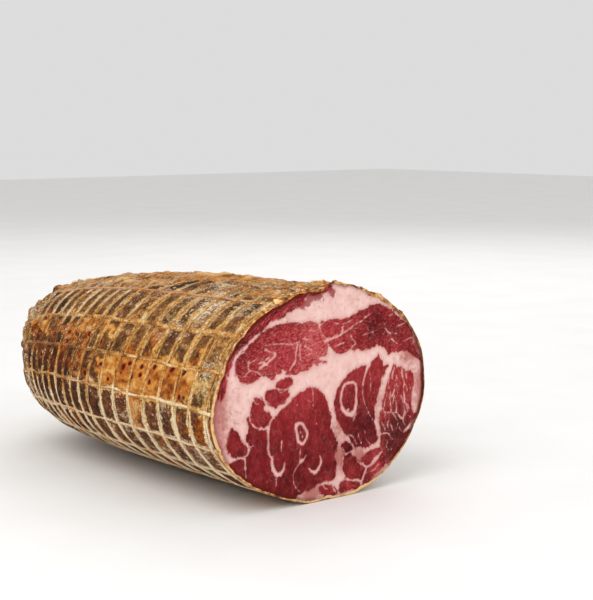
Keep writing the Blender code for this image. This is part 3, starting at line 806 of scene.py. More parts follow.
def make_piece(name, points, faces, finish, stands_for, looks, uv=None):
    """A mesh object from whole arrays: points, lists of equal-sided faces, and named looks."""
    mesh = bpy.data.meshes.new(name)
    faces = [np.asarray(f) for f in faces if len(f)]
    corners = np.concatenate([f.ravel() for f in faces]).astype(np.int32)
    sides = np.concatenate([np.full(len(f), f.shape[1]) for f in faces])
    starts = np.concatenate([[0], np.cumsum(sides)[:-1]]).astype(np.int32)
    mesh.vertices.add(len(points))
    mesh.vertices.foreach_set("co", np.asarray(points, np.float32).ravel())
    mesh.loops.add(len(corners))
    mesh.loops.foreach_set("vertex_index", corners)
    mesh.polygons.add(len(sides))
    mesh.polygons.foreach_set("loop_start", starts)
    mesh.update(calc_edges=True)
    mesh.validate()
    mesh.shade_smooth()
    for label, values in looks.items():
        values = np.asarray(values, np.float32)
        kind, field = ("FLOAT", "value") if values.ndim == 1 else ("FLOAT_VECTOR", "vector")
        mesh.attributes.new(label, kind, "POINT").data.foreach_set(field, values.ravel())
    if uv is not None:
        mesh.uv_layers.new(name="run").data.foreach_set("uv", np.asarray(uv, np.float32).ravel())
    mesh.materials.append(finish)
    piece = bpy.data.objects.new(name, mesh)
    bpy.context.scene.collection.objects.link(piece)
    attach(piece, "root")
    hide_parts(stands_for)
    return piece


def make_meat(name, points, faces, finish, looks):
    """A piece of the meat."""
    return make_piece(name, points, faces, finish, "meat", looks)


def make_cut_face(finish, cells=300):
    """The cut face: a square grid turned into a disc, then stretched out to the cut's outline.

    The square's rings become circles, and a corner stays a corner of its ring, so the cells
    stay nearly even. The lean lies a little lower than the fat, and the edge is rounded over.
    """
    side = np.linspace(-1.0, 1.0, cells + 1)
    a, b = np.meshgrid(side, side, indexing="ij")
    wide = np.abs(a) >= np.abs(b)
    ring = np.where(wide, a, b)
    turn = np.where(wide, b, a) / np.where(ring == 0, 1.0, ring) * math.pi / 4
    angle = np.where(wide, turn, math.pi / 2 - turn) + np.where(ring < 0, math.pi, 0.0)
    radius = np.abs(ring)
    edge = casing_skin(np.zeros_like(angle), angle)[..., 1:]
    across = FACE_MIDDLE + radius[..., None] * (edge - FACE_MIDDLE)
    places = (across / MM).reshape(-1, 2)
    places[:, 0] += CENTRE[1] / MM
    looks = face_pattern(places)
    to_rim = (1.0 - radius) * np.hypot(*(edge - FACE_MIDDLE).transpose(2, 0, 1)) / MM
    looks["rim"] = (to_rim - np.interp(turn_of(angle), EDGE_ANGLES, EDGE_WIDTHS)).ravel()
    looks["dried_edge_and_shadow"] = np.interp(turn_of(angle), EDGE_ANGLES, EDGE_DRIED_AND_SHADOW).ravel()
    lean = np.minimum(looks["lean"], looks["seam"])
    fine = layered(places[:, 0] / FACE_RUN, places[:, 1] / FACE_RUN, (60, 60), 41, 2)
    dips = -0.05 * ease(lean, -0.1, 0.9) + 0.025 * fine
    dips = dips - 0.35 * np.exp(-to_rim.ravel() / 0.5)
    dips = dips + 0.02 * np.exp(-((lean + 0.35) / 0.45) ** 2)
    points = np.column_stack([CUT_X + MM * dips, across.reshape(-1, 2)])
    corner = np.arange((cells + 1) ** 2).reshape(cells + 1, cells + 1)
    quads = np.stack([corner[:-1, :-1], corner[1:, :-1], corner[1:, 1:], corner[:-1, 1:]], axis=-1)
    return make_meat("cut_face", points, [quads.reshape(-1, 4)], finish, looks)


def make_casing(name, start, end, finish, rows=220, columns=440):
    """A length of casing from start to end: a grid of distance and angle carried onto the skin.

    Where it reaches the rear pole, a fan closes it.
    """
    closes = end >= POLE_AT
    stop = end - 0.4 * MM if closes else end
    distance, angle = np.meshgrid(np.linspace(start, stop, rows),
                                  np.linspace(0.0, FULL_TURN, columns, endpoint=False), indexing="ij")
    points = casing_skin(distance, angle).reshape(-1, 3)
    looks = {k: v.ravel() for k, v in casing_looks(distance, angle).items()}
    faces = [ring_quads(rows, columns)]
    if closes:
        points = np.vstack([points, points[-columns:].mean(axis=0)])
        looks = {k: np.append(v, v[-columns:].mean()) for k, v in looks.items()}
        faces.append(fan(np.arange((rows - 1) * columns, rows * columns), rows * columns))
    return make_meat(name, points, faces, finish, looks)


def make_rim(finish, columns=1100):
    """The casing's edge: a thin lip wrapped over the corner of the cut, ragged along the top.

    A closed profile of eleven places is carried round the outline. It lies on the skin behind
    the cut, turns the corner and ends on the face, and its way back runs inside the meat.
    """
    angle = np.linspace(0.0, FULL_TURN, columns, endpoint=False)
    degrees = np.degrees(angle)
    width = np.interp(degrees, EDGE_ANGLES, EDGE_WIDTHS)
    torn = span(degrees, 78.0, 92.0, 138.0, 150.0)
    rag = 0.6 * round_rumple(angle, 45, 51, 3) + 0.6 * round_rumple(angle, 170, 53, 3)
    width = np.maximum(width * (1.0 + 0.45 * rag) + torn * np.maximum(0.0, 0.3 * rag), 0.08)
    curl = 0.12 + 0.35 * torn * np.maximum(0.0, round_rumple(angle, 90, 55, 3))
    thick = 0.16 + 0.05 * round_rumple(angle, 160, 57)
    thick = thick + torn * 0.35 * np.maximum(0.0, round_rumple(angle, 60, 59, 3))
    flat = np.zeros_like(angle)
    behind = np.stack([flat - 1.0, flat - 0.7, flat - 0.35, flat, flat + curl * 0.5 + 0.1,
                       flat + curl + 0.1, flat + curl * 0.6, flat - 0.1, flat - 0.3, flat - 0.7,
                       flat - 1.0], axis=1)
    height = np.stack([flat + 0.02, thick, thick + 0.06, thick, flat - 0.05, -width, -width - 0.05,
                       -0.4 * width, flat - 0.5, flat - 0.5, flat - 0.4], axis=1)
    distance = np.maximum(-behind, 0.0) * MM
    wide_angle = np.broadcast_to(angle[:, None], distance.shape)
    skin = casing_skin(distance, wide_angle)
    away = outward(share_at(distance), wide_angle)
    away[..., 0] = 0.0
    inward = unit(FACE_MIDDLE - skin[..., 1:])
    points = skin + np.maximum(height, 0.0)[..., None] * MM * away
    points[..., 1:] += np.maximum(-height, 0.0)[..., None] * MM * inward
    points[..., 0] += np.maximum(behind, 0.0) * MM
    points[..., 2] = np.maximum(points[..., 2], 0.2 * MM)
    sides = points.shape[1]
    looks = {"torn": np.repeat(torn, sides),
             "bright": np.repeat(np.interp(degrees, EDGE_ANGLES, EDGE_BRIGHTNESS), sides),
             "out": np.tile(np.linspace(0.0, 1.0, sides), columns)}
    quads = ring_quads(columns, sides, wrap_rows=True)[:, ::-1]
    return make_meat("casing_rim", points.reshape(-1, 3), [quads], finish, looks)


# Torn tabs of the casing at the cut: angle, width, length, how far they lean back from the cut in
# degrees, and how far they curl along their length
FLAPS = [(121.0, 5.2, 3.8, 150, 22), (117.5, 2.6, 1.6, 70, -80), (101.5, 5.0, 2.6, 75, -95),
         (94.0, 5.6, 2.3, 62, -80), (90.0, 3.8, 3.0, 125, 20), (106.8, 3.2, 1.6, 80, -50),
         (84.0, 3.8, 1.4, 60, -60), (113.0, 2.4, 1.3, 140, 10), (130.0, 2.6, 1.3, 130, 10),
         (143.5, 3.0, 1.6, 60, -60), (166.0, 3.0, 1.2, 60, -60), (36.0, 3.4, 1.2, 60, -70)]


def make_flaps(finish, steps=9, sides=14):
    """Torn tabs at the casing's edge: thin leaves that rise from the skin and curl over the cut.

    A leaf is a flat oval carried along an arc. It narrows from its root, closes in a ragged
    tip, and is rippled by a sine.
    """
    parts = []
    s = np.linspace(0.0, 1.0, steps)
    turn = np.linspace(0.0, FULL_TURN, sides, endpoint=False)
    ahead = np.array([1.0, 0.0, 0.0])
    at_cut = np.array([0.8 * MM])
    for k, (at, wide, long, back, curl) in enumerate(FLAPS):
        angle = np.radians(np.array([at]))
        out = unit(outward(share_at(at_cut), angle)[0] * np.array([0.0, 1.0, 1.0]))
        across = np.cross(ahead, out)
        bend = np.radians(back + curl * s)
        skewed = math.sin(2.7 * k) * 0.45
        rise = np.cos(bend)[:, None] * ahead + np.sin(bend)[:, None] * out
        run = unit(rise + skewed * s[:, None] * across)
        walked = np.vstack([np.zeros(3), np.cumsum(run[:-1] * long * MM / (steps - 1), axis=0)])
        centre = casing_skin(at_cut, angle)[0] + walked + 0.1 * MM * out
        up = unit(np.cross(run, across))
        rag = 1.0 + 0.3 * layered(s[:, None] * 0.4 + 0.11 * k, turn[None, :] / FULL_TURN, (9, 5), 301 + k)
        taper = (0.95 - 0.35 * s) * np.maximum(1.0 - s ** 5, 0.02) ** 0.5
        side = 0.5 * wide * MM * (taper[:, None] * rag * np.cos(turn))
        thick = 0.13 * MM * (1.0 - 0.5 * s[:, None]) * (1.0 - s[:, None] ** 8) * np.sin(turn)
        ripple = 0.22 * MM * np.sin(2.2 * np.cos(turn) + 1.7 * k)[None, :] * s[:, None]
        points = centre[:, None] + side[..., None] * across + (thick + ripple)[..., None] * up[:, None]
        tips = [points[0].mean(axis=0), points[-1].mean(axis=0)]
        parts.append((np.vstack([points.reshape(-1, 3), *tips]), ring_quads(steps, sides)[:, ::-1],
                      end_fans(steps, sides)))
    points, quads, caps = stack_up(parts)
    looks = {k: np.full(len(points), v) for k, v in (("torn", 1.0), ("bright", 0.6), ("out", 0.6))}
    return make_meat("casing_flaps", points, [quads, caps], finish, looks)


def make_crumbs(finish, count=7500, sides=7):
    """Flecks of dried crust: small ragged domes lying on the skin, thickest along the strands.

    A dome is a ring of uneven reach round its place, joined to a tip over it and one under it.
    """
    rng = np.random.default_rng(401)
    tries = count * 5
    distance = rng.uniform(0.001, POLE_AT - POLE_MARGIN, tries)
    angle = rng.uniform(0.0, FULL_TURN, tries)
    looks = casing_looks(distance, angle)
    flank = span(np.degrees(angle), 100.0, 118.0, 150.0, 165.0)
    chance = looks["powder"] * (0.12 + 0.9 * looks["near"])
    chance = chance * (0.5 + 0.9 * flank + 0.3 * looks["low"] + 0.5 * looks["top"])
    chance = chance * (1.0 - 0.8 * ease(looks["amber"], 0.2, 0.5))
    kept = np.argsort(rng.uniform(0.0, 1.0, tries) - 1.6 * chance)[:count]
    distance, angle = distance[kept], angle[kept]
    base = casing_skin(distance, angle)
    t = share_at(distance)
    out = outward(t, angle)
    along = unit(groove(t + 1e-3, angle) - groove(t, angle))
    across = np.cross(out, along)
    spin = rng.uniform(0.0, FULL_TURN, count)[:, None]
    first = np.cos(spin) * along + np.sin(spin) * across
    second = np.cross(out, first)
    long = MM * rng.uniform(0.35, 1.0, count) ** 1.7 * 1.4
    wide = long * rng.uniform(0.25, 0.7, count)
    ring = np.linspace(0.0, FULL_TURN, sides, endpoint=False)
    reach = rng.uniform(0.65, 1.2, (count, sides))
    edge = (long[:, None] * reach * np.cos(ring))[..., None] * first[:, None]
    edge = edge + (wide[:, None] * reach * np.sin(ring))[..., None] * second[:, None]
    lift = rng.uniform(0.08, 0.32, count)[:, None] * MM
    points = np.concatenate([base[:, None] + edge + 0.03 * MM * out[:, None], (base + lift * out)[:, None],
                             (base - 0.25 * MM * out)[:, None]], axis=1)
    points[..., 2] = np.maximum(points[..., 2], 0.02 * MM)
    corner = np.arange(sides)
    dome = np.vstack([fan(corner, sides, True), fan(corner, sides + 1)])
    faces = dome[None] + (np.arange(count) * (sides + 2))[:, None, None]
    pale = rng.uniform(0.1, 1.0, count) * 0.8 + 0.25 * looks["low"][kept]
    return make_meat("crust_flecks", points.reshape(-1, 3), [faces.reshape(-1, 3)], finish,
                     {"pale": np.repeat(pale, sides + 2)})


# The net

def tube(centre, out, radius, sides, closed, lobes=0.0, pitch=1.0):
    """A yarn: a ring of places round each point of its centre line, set by out and the run.

    With lobes, the ring is an oval that turns once in each two pitches, as two twisted plies do.
    Its UV map holds the length along the yarn and the share of the turn round it.
    """
    if closed:
        run = np.roll(centre, -1, axis=0) - np.roll(centre, 1, axis=0)
        steps = np.linalg.norm(np.roll(centre, -1, axis=0) - centre, axis=1)
    else:
        run = np.gradient(centre, axis=0)
        steps = np.append(np.linalg.norm(np.diff(centre, axis=0), axis=1), 0.0)
    length = np.concatenate([[0.0], np.cumsum(steps)])
    run = unit(run)
    across = unit(np.cross(run, out))
    up = np.cross(across, run)
    turn = np.linspace(0.0, FULL_TURN, sides, endpoint=False)
    twist = np.pi * length[:len(centre), None] / pitch
    reach = radius * (1.0 + lobes * np.cos(2.0 * (turn[None, :] - twist)))
    ring = np.cos(turn)[None, :, None] * up[:, None] + np.sin(turn)[None, :, None] * across[:, None]
    points = centre[:, None] + reach[..., None] * ring
    points[..., 2] = np.maximum(points[..., 2], 0.0)
    rows = len(centre) if closed else len(centre) - 1
    u0, u1 = length[:rows], length[1:rows + 1]
    v0 = np.arange(sides) / sides
    v1 = v0 + 1.0 / sides
    along = np.stack([u0, u0, u1, u1], axis=1)[:, None]
    around = np.stack([v1, v0, v0, v1], axis=1)[None]
    along = along[..., [0, 3, 2, 1]]
    around = around[..., [0, 3, 2, 1]]
    uv = np.stack(np.broadcast_arrays(along, around), axis=-1)
    quads = ring_quads(len(centre), sides, wrap_rows=closed)[:, ::-1]
    return points.reshape(-1, 3), quads, uv.reshape(-1, 2)


def yarn_looks(distance, angle):
    """How bleached a strand is: tan above, cream below, and patchy.

    It is dusty white on the rear's shoulder, duller along the rear's upper flank, and brighter
    low down by the cut.
    """
    turn = turn_of(angle)
    low = span(turn, 168.0, 196.0, 335.0, 358.0)
    patchy = rumple(*lattice(distance, angle), (40, 60), 61)
    rearward = ease(distance, 0.105, 0.135) * (1.0 - 0.5 * ease(distance, 0.155, 0.175))
    dusty = rearward * span(turn, 112.0, 126.0, 146.0, 154.0)
    dull = bump(distance, angle, 135.0, 161.0, 60.0, 12.0)
    dull = dull + 0.6 * bump(distance, angle, 155.0, 175.0, 50.0, 7.0)
    dull = dull - 0.5 * bump(distance, angle, 25.0, 205.0, 40.0, 14.0)
    return 0.48 + 0.5 * low - 0.05 * side_of(angle) + 0.36 * patchy + 0.25 * dusty - 0.42 * dull


def strand_line(distance, angle, height):
    """Places of a strand at a height over the groove surface, and the outward directions."""
    t = share_at(distance)
    out = outward(t, angle)
    out[..., 0] *= ease(distance, 0.0, 0.003)
    lifted = height + swell(distance, angle)
    return groove(t, angle) + lifted[..., None] * out - CENTRE, out


def make_net(name, parts, uvs, finish, bleach, pink):
    """A piece of the net from its yarns. The caps at their ends take no part in the UV map."""
    points, quads, caps = stack_up(parts)
    uv = np.vstack(uvs + [np.zeros((caps.size, 2))])
    return make_piece(name, points, [quads, caps], finish, "net",
                      {"bleach": np.concatenate(bleach), "pink": np.concatenate(pink)}, uv)


def make_hoops(finish):
    """The hoops: two thin yarns side by side, a little unsteady, lifted where a cord passes.

    Each yarn's distance from the cut, height and thickness are a middle value with rumples
    laid over it. From 95 mm on the yarns are slighter. Low down near the cut, the first hoop
    is thinner and the others are a little stouter.
    """
    parts, uvs, bleach = [], [], []
    for k, place in enumerate(HOOPS):
        count = int(max(60, 260 * size_along(share_at(place))))
        angle = np.linspace(0.0, FULL_TURN, count, endpoint=False)
        wander = 0.35 * MM * round_rumple(angle, 14, 70 + k, 2)
        crossing = np.exp(-(turn_to_cord(angle) * MEAN_RADIUS / (1.6 * MM)) ** 2)
        spread = 0.56 * MM * (1.0 - 0.35 * crossing) * (1.0 + 0.55 * round_rumple(angle, 44, 90 + k))
        sunk = 0.7 * side_of(angle) * (1.0 + round_rumple(angle, 20, 50 + k))
        height = (0.82 - sunk + 0.25 * crossing) * MM + 0.05 * MM * round_rumple(angle, 50, 110 + k)
        stout = (0.12 - 0.4 * (k == 0)) * span(np.degrees(angle), 182.0, 198.0, 218.0, 232.0)
        for side in (-1, 1):
            own = 0.2 * MM * round_rumple(angle, 80, 240 + 2 * k + side)
            distance = place + wander + side * spread + own
            centre, out = strand_line(distance, angle, height)
            slight = 1.0 - 0.2 * ease(distance, 0.095, 0.130) + stout * (1.0 - ease(distance, 0.055, 0.090))
            thin = 0.42 * MM * slight * (1.0 + 0.35 * round_rumple(angle, 56, 330 + 2 * k + side))
            points, quads, uv = tube(centre, out, thin[:, None], HOOP_SIDES, True)
            parts.append((points, quads, np.empty((0, 3), int)))
            uvs.append(uv)
            bleach.append(np.repeat(yarn_looks(distance, angle), HOOP_SIDES))
    return make_net("net_hoops", parts, uvs, finish, bleach, [np.zeros(sum(map(len, bleach)))])


def make_cords(finish):
    """The lengthwise cords: two twisted plies from the cut to the last hoop, capped at the ends.

    Each wanders in angle and in height by rumples. The bold cord is thicker, and from 20 to
    50 mm it gets higher, paler and redder. The crusted cords are thicker and paler near the cut.
    """
    parts, uvs, bleach, pink = [], [], [], []
    distance = np.arange(0.3 * MM, HOOPS[-1] + 0.6 * MM, CORD_STEP)
    steady = ease(HOOPS[-1] - distance, 0.0, 0.04)
    shown = ease(distance, 0.020, 0.050)
    for k, at in enumerate(CORD_ANGLES):
        bold = float(at == BOLD_CORD)
        angle = CORDS[k] + 0.010 * long_rumple(distance, 22, 130 + k, 2) * steady
        height = 1.0 - 0.3 * side_of(angle) + 0.35 * shown * bold
        height = MM * (height + 0.08 * long_rumple(distance, 60, 150 + k))
        centre, out = strand_line(distance, angle, height)
        crust, paler = 0.0 * distance, 0.0 * distance
        for crusted, end, depth, pale in CRUSTED_CORDS:
            share = (at == crusted) * (1.0 - ease(distance, end, end + CRUST_FADE))
            crust = crust + depth * share * (1.0 + 0.7 * long_rumple(distance, 110, 360 + k, 2))
            paler = paler + pale * share
        thick = (0.48 + 0.06 * bold) * MM * (1.0 + 0.2 * long_rumple(distance, 80, 170 + k)) + crust
        points, quads, uv = tube(centre, out, thick[:, None], CORD_SIDES, False, lobes=0.16, pitch=2.6 * MM)
        parts.append((np.vstack([points, centre[0], centre[-1]]), quads,
                      end_fans(len(centre), CORD_SIDES, True)))
        uvs.append(uv)
        pale = yarn_looks(distance, angle) + paler + (0.12 * shown if bold else -0.06)
        bleach.append(np.append(np.repeat(pale, CORD_SIDES), [0.5, 0.5]))
        red = 1.0 - 0.8 * (crust > 0.0) + 1.3 * shown * bold
        pink.append(np.append(np.repeat(red, CORD_SIDES), [1.0, 1.0]))
    return make_net("net_cords", parts, uvs, finish, bleach, pink)


def make_fuzz(finish, count=5600, steps=5, sides=3):
    """Loose fibres of the worn strands: thin curved hairs that lie over the skin beside them.

    A hair starts at a random place of a strand, most often on the worn flanks, and runs off at a
    random slant. It bends by the square of its run, rises by a half sine, and carries a
    three-cornered profile.
    """
    rng = np.random.default_rng(601)
    tries = 4 * count
    on_hoop = rng.uniform(0.0, 1.0, tries) < 0.72
    distance = np.where(on_hoop, rng.choice(HOOPS, tries), rng.uniform(0.003, HOOPS[-1], tries))
    angle = np.where(on_hoop, rng.uniform(0.0, FULL_TURN, tries), rng.choice(CORDS, tries))
    place = casing_looks(distance, angle)
    worn = span(turn_of(angle), 80.0, 105.0, 146.0, 160.0) + 0.5 * place["powder"] + 0.3 * place["low"]
    worn = worn + 0.5 * rumple(*lattice(distance, angle), (34, 46), 603)
    worn = worn - 0.6 * np.minimum(place["amber"], 1.0)
    kept = np.argsort(rng.uniform(0.0, 1.0, tries) - worn)[:count]
    on_hoop, distance, angle = on_hoop[kept], distance[kept], angle[kept]
    lying = (np.where(on_hoop, 0.5 * np.pi, 0.0) + rng.normal(0.0, 0.75, count))[:, None]
    long = MM * rng.uniform(1.2, 4.6, count)[:, None]
    bend = MM * rng.uniform(-1.3, 1.3, count)[:, None]
    radius = MM * rng.uniform(0.07, 0.18, count)[:, None]
    lift = rng.uniform(0.1, 0.7, count)[:, None]
    start = rng.uniform(0.15, 0.85, count)[:, None]
    s = np.linspace(0.0, 1.0, steps)[None, :]
    run = (s - start) * long
    aside = (s - start) ** 2 * bend
    along = distance[:, None] + run * np.cos(lying) - aside * np.sin(lying)
    around = run * np.sin(lying) + aside * np.cos(lying)
    size = MEAN_RADIUS * np.maximum(size_along(share_at(distance)), 0.3)
    along = np.clip(along, 0.6 * MM, POLE_AT - POLE_MARGIN)
    turned = angle[:, None] + around / size[:, None]
    out = outward(share_at(along), turned)
    centre = casing_skin(along, turned) + (0.08 + lift * np.sin(np.pi * s))[..., None] * MM * out
    across = unit(np.cross(np.gradient(centre, axis=1), out))
    corner = np.linspace(0.0, FULL_TURN, sides, endpoint=False)
    ring = np.cos(corner)[:, None] * out[:, :, None] + np.sin(corner)[:, None] * across[:, :, None]
    thin = radius * (1.0 - 0.6 * s ** 3)
    points = centre[:, :, None] + thin[..., None, None] * ring
    points[..., 2] = np.maximum(points[..., 2], 0.0)
    whole = steps * sides
    starts = (np.arange(count) * whole)[:, None, None]
    quads = (ring_quads(steps, sides)[None, :, ::-1] + starts).reshape(-1, 4)
    ends = np.array([[1, 2, 0], [whole - 1, whole - 2, whole - 3]])
    caps = (ends[None] + starts).reshape(-1, 3)
    bleach = np.repeat(yarn_looks(distance, angle) + 0.3 + rng.uniform(-0.3, 0.25, count), whole)
    looks = {"bleach": bleach, "pink": np.zeros(len(bleach))}
    uv = np.zeros((quads.size + caps.size, 2))
    return make_piece("net_fuzz", points.reshape(-1, 3), [quads, caps], finish, "net", looks, uv)


# Finishes

def light(colour):
    """A colour given as 0 to 255 on the screen, turned to the shader's linear scale."""
    c = np.array(colour, float) / 255.0
    return tuple(np.where(c <= 0.04045, c / 12.92, ((c + 0.055) / 1.055) ** 2.4)) + (1.0,)


class Amount:
    """A number or colour that differs from place to place of a finish, made by one of its nodes."""

    def __init__(self, finish, socket):
        self.finish = finish
        self.socket = socket

    def sum_with(self, how, first, second):
        """One sum of two numbers."""
        return self.finish.put("ShaderNodeMath", {0: first, 1: second}, operation=how)

    def __add__(self, other):
        return self.sum_with("ADD", self, other)

    def __mul__(self, other):
        return self.sum_with("MULTIPLY", self, other)

    def __sub__(self, other):
        return self.sum_with("SUBTRACT", self, other)

    def __rsub__(self, other):
        return self.sum_with("SUBTRACT", other, self)

    __radd__ = __add__
    __rmul__ = __mul__

    def at_most(self, other):
        """The lesser of two numbers."""
        return self.sum_with("MINIMUM", self, other)

    def at_least(self, other):
        """The greater of two numbers."""
        return self.sum_with("MAXIMUM", self, other)

    def between(self, low, high):
        """0 at low, 1 at high, smooth between and level past them."""
        return self.finish.put("ShaderNodeMapRange", {"Value": self, "From Min": low, "From Max": high},
                               interpolation_type="SMOOTHSTEP")


class Finish:
    """A material under way: its methods add nodes, and done gives the shader its colour."""

    def __init__(self, name, roughness, specular):
        self.material = bpy.data.materials.new(name)
        self.material.use_nodes = True
        self.tree = self.material.node_tree
        self.shader = self.tree.nodes["Principled BSDF"]
        self.shader.inputs["Roughness"].default_value = roughness
        self.shader.inputs["Specular IOR Level"].default_value = specular

    def put(self, kind, inputs=(), out=0, **settings):
        """One output of a new node, with its settings, its numbers and its links from others."""
        node = self.tree.nodes.new(kind)
        for label, value in settings.items():
            setattr(node, label, value)
        for key, value in dict(inputs).items():
            if isinstance(value, Amount):
                self.tree.links.new(value.socket, node.inputs[key])
            else:
                node.inputs[key].default_value = value
        return Amount(self, node.outputs[out])

    def look(self, label, out="Fac"):
        """A look stored on the piece's corners."""
        return self.put("ShaderNodeAttribute", out=out, attribute_name=label)

    def moved(self, place, **how):
        """Places turned or scaled."""
        return self.put("ShaderNodeMapping", {"Vector": place, **how})

    def speckle(self, size_mm, detail, rough, stretch=(1, 1, 1), from_look=None, twist=0.0, turn=0.0):
        """Noise with grains of a size, drawn out by stretch, on Object coordinates or a stored look.

        turn swings the drawn-out grains about the upright, in radians.
        """
        if from_look:
            place = self.look(from_look, "Vector")
            unit_mm = 1.0
        else:
            place = self.put("ShaderNodeTexCoord", out="Object")
            unit_mm = 1.0 / MM
        if turn:
            place = self.moved(place, Rotation=(0.0, 0.0, turn))
        place = self.moved(place, Scale=[unit_mm / size_mm / s for s in stretch])
        return self.put("ShaderNodeTexNoise", {"Vector": place, "Scale": 1.0, "Detail": detail,
                                               "Roughness": rough, "Distortion": twist}, out="Fac")

    def uneven(self, gain, *grain):
        """Speckle about nothing, times a gain."""
        return (self.speckle(*grain) - 0.5) * gain

    def ramp(self, value, stops):
        """Colours along a value: pairs of a position and a screen colour."""
        colour = self.put("ShaderNodeValToRGB", {"Fac": value}, out="Color")
        band = colour.socket.node.color_ramp
        while len(band.elements) < len(stops):
            band.elements.new(0.5)
        for element, (place, shade) in zip(band.elements, stops):
            element.position = place
            element.color = light(shade)
        return colour

    def coats(self, colour, *layers):
        """Colours laid over one another in turn, each given as its share and its colour."""
        for share, top in layers:
            top = light(top) if isinstance(top, tuple) else top
            colour = self.put("ShaderNodeMix", {0: share, 6: colour, 7: top}, out=2, data_type="RGBA")
        return colour

    def done(self, colour, height=None, depth_mm=0.0, strength=1.0):
        """The material, with its colour set, and with bump from a height between 0 and 1."""
        self.tree.links.new(colour.socket, self.shader.inputs["Base Color"])
        if height is not None:
            raised = self.put("ShaderNodeBump", {"Strength": strength, "Distance": depth_mm * MM,
                                                 "Height": height})
            self.tree.links.new(raised.socket, self.shader.inputs["Normal"])
        return self.material


def lean_colour(f, coarse_fibre, patch):
    """The lean's red: a ramp of its tone and grain, its pale fibres, and its flecks and web of fat."""
    tone, rich = f.look("tone"), f.look("marbling")
    striped = rich.between(1.2, 1.45)
    rough = rich.between(0.15, 0.7) * (1.0 - striped)
    mottle = f.uneven(0.7, 4.0, 4.0, 0.62)
    bands = f.uneven(2.6, 1.5, 4.0, 0.68, (6.0, 1.0, 1.0), "grain") * f.look("banded")
    shade = tone * 0.5 + 0.5 + mottle + coarse_fibre * (rough * 0.9 + 0.35) + bands
    red = f.ramp(shade, [
        (0.0, (54, 8, 12)), (0.25, (96, 20, 23)), (0.5, (136, 34, 38)), (0.75, (172, 56, 60)),
        (1.0, (196, 90, 90))])
    lively = striped * tone.between(-0.75, 0.0)
    pale = (coarse_fibre + rich * 0.16).between(0.11, 0.34) * (rough * 0.5 + 0.05)
    streak = f.speckle(1.1, 5.0, 0.7, (1.5, 1.0, 1.0), "grain", 0.8)
    fed = rich.at_most(1.1) * (patch * 0.1 + 0.06)
    fleck = (streak + fed).between(0.6, 0.8) * (striped * -0.35 + 0.65)
    thin = f.put("ShaderNodeTexVoronoi", {"Vector": web_place(f), "Scale": 1.0, "Randomness": 1.0},
                 out="Distance", feature="DISTANCE_TO_EDGE")
    web = (thin + f.uneven(0.14, 1.4, 3.0, 0.6)).between(0.1, 0.01)
    vein = fleck.at_least(web * (striped * 0.15 + patch * 0.12))
    shown = tone.between(-0.8, -0.2) * 0.55 + 0.25
    red = f.coats(red, (lively * 0.55, (152, 20, 26)), (pale, (210, 112, 110)),
                  (vein * shown, (212, 136, 130)))
    return red, striped


def web_place(f):
    """Places for the fine web of fat: the fibre run drawn out, and shaken by noise."""
    grain = f.look("grain", "Vector")
    shaken = f.put("ShaderNodeTexNoise", {"Vector": grain, "Scale": 0.35, "Detail": 3.0}, out="Color")
    away = f.put("ShaderNodeVectorMath", {0: shaken, 3: 2.0}, operation="SCALE")
    place = f.put("ShaderNodeVectorMath", {0: grain, 1: away}, operation="ADD")
    return f.moved(place, Scale=(0.085, 0.38, 1.0))


def fat_colour(f, lean, coarse, fine):
    """The fat's cream: mottled, darker beside the lean, with its blushes, stains and pores."""
    cream = f.ramp(f.speckle(6.0, 4.0, 0.6), [
        (0.3, (226, 180, 172)), (0.5, (234, 193, 185)), (0.7, (240, 205, 197))])
    blush = (f.look("blush") + coarse * 1.6).between(0.05, 1.15)
    stain = (f.look("stain") + f.uneven(1.6, 2.2, 5.0, 0.7)).between(0.4, 0.7)
    pore = (f.look("pore") + fine).between(0.3, 0.7)
    return f.coats(
        cream, (fine.between(0.0, 0.3) * 0.3, (246, 220, 213)),
        (coarse.between(0.02, 0.2) * 0.35, (214, 158, 152)),
        (lean.between(-2.4, -0.2) * 0.45, (200, 136, 128)), (blush * 0.8, (166, 80, 74)),
        (stain * 0.8, (138, 36, 40)), (pore * 0.5, (140, 72, 62)))


def cut_meat_finish():
    """The cut face: lean and fat parted by the stored depths, marbled, with a dark edge that is the meat's
    dried rim and painted shadow under the casing's lip.
    """
    f = Finish("cut_meat", 0.5, 0.05)
    lean, seam, dried_edge_and_shadow = f.look("lean"), f.look("seam"), f.look("dried_edge_and_shadow")
    coarse = f.uneven(1.0, 2.4, 4.0, 0.65)
    fine = f.uneven(1.0, 0.7, 3.0, 0.65)
    comb = f.uneven(1.0, 0.8, 3.0, 0.6, (4.0, 1.0, 1.0), "grain")
    fibre = f.uneven(1.0, 0.9, 4.0, 0.72, (1.6, 1.0, 1.0), "grain")
    patch = f.speckle(6.0, 2.0, 0.5).between(0.35, 0.62)
    fringe = coarse * 2.2 + fine + comb * 2.0
    in_lean = (lean + fringe).between(-0.75, 0.1)
    in_seam = (seam + fringe * 0.7).between(0.22, -0.38)
    core = (seam + fine * 0.6).between(-0.35, -0.75)

    red, striped = lean_colour(f, fibre, patch)
    firm = 0.5 + patch * 0.35 + striped * 0.05
    red = f.coats(red, (in_seam * firm, (222, 162, 154)), (core * 0.7, (234, 190, 182)))
    colour = f.coats(fat_colour(f, lean, coarse, fine), (in_lean, red))
    # The dark band along the face's edge: the meat's dried rim, and painted shadow of the casing's lip.
    rim = f.look("rim") + coarse * 1.6 + dried_edge_and_shadow * -1.4
    colour = f.coats(colour, (rim.between(1.4, -0.4) * dried_edge_and_shadow, (84, 26, 18)))
    shine = f.speckle(1.0, 3.0, 0.6) * 0.35 + 0.34
    f.tree.links.new(shine.socket, f.shader.inputs["Roughness"])
    return f.done(colour, fibre * 0.4 + in_lean * -0.08, 0.2, 0.6)


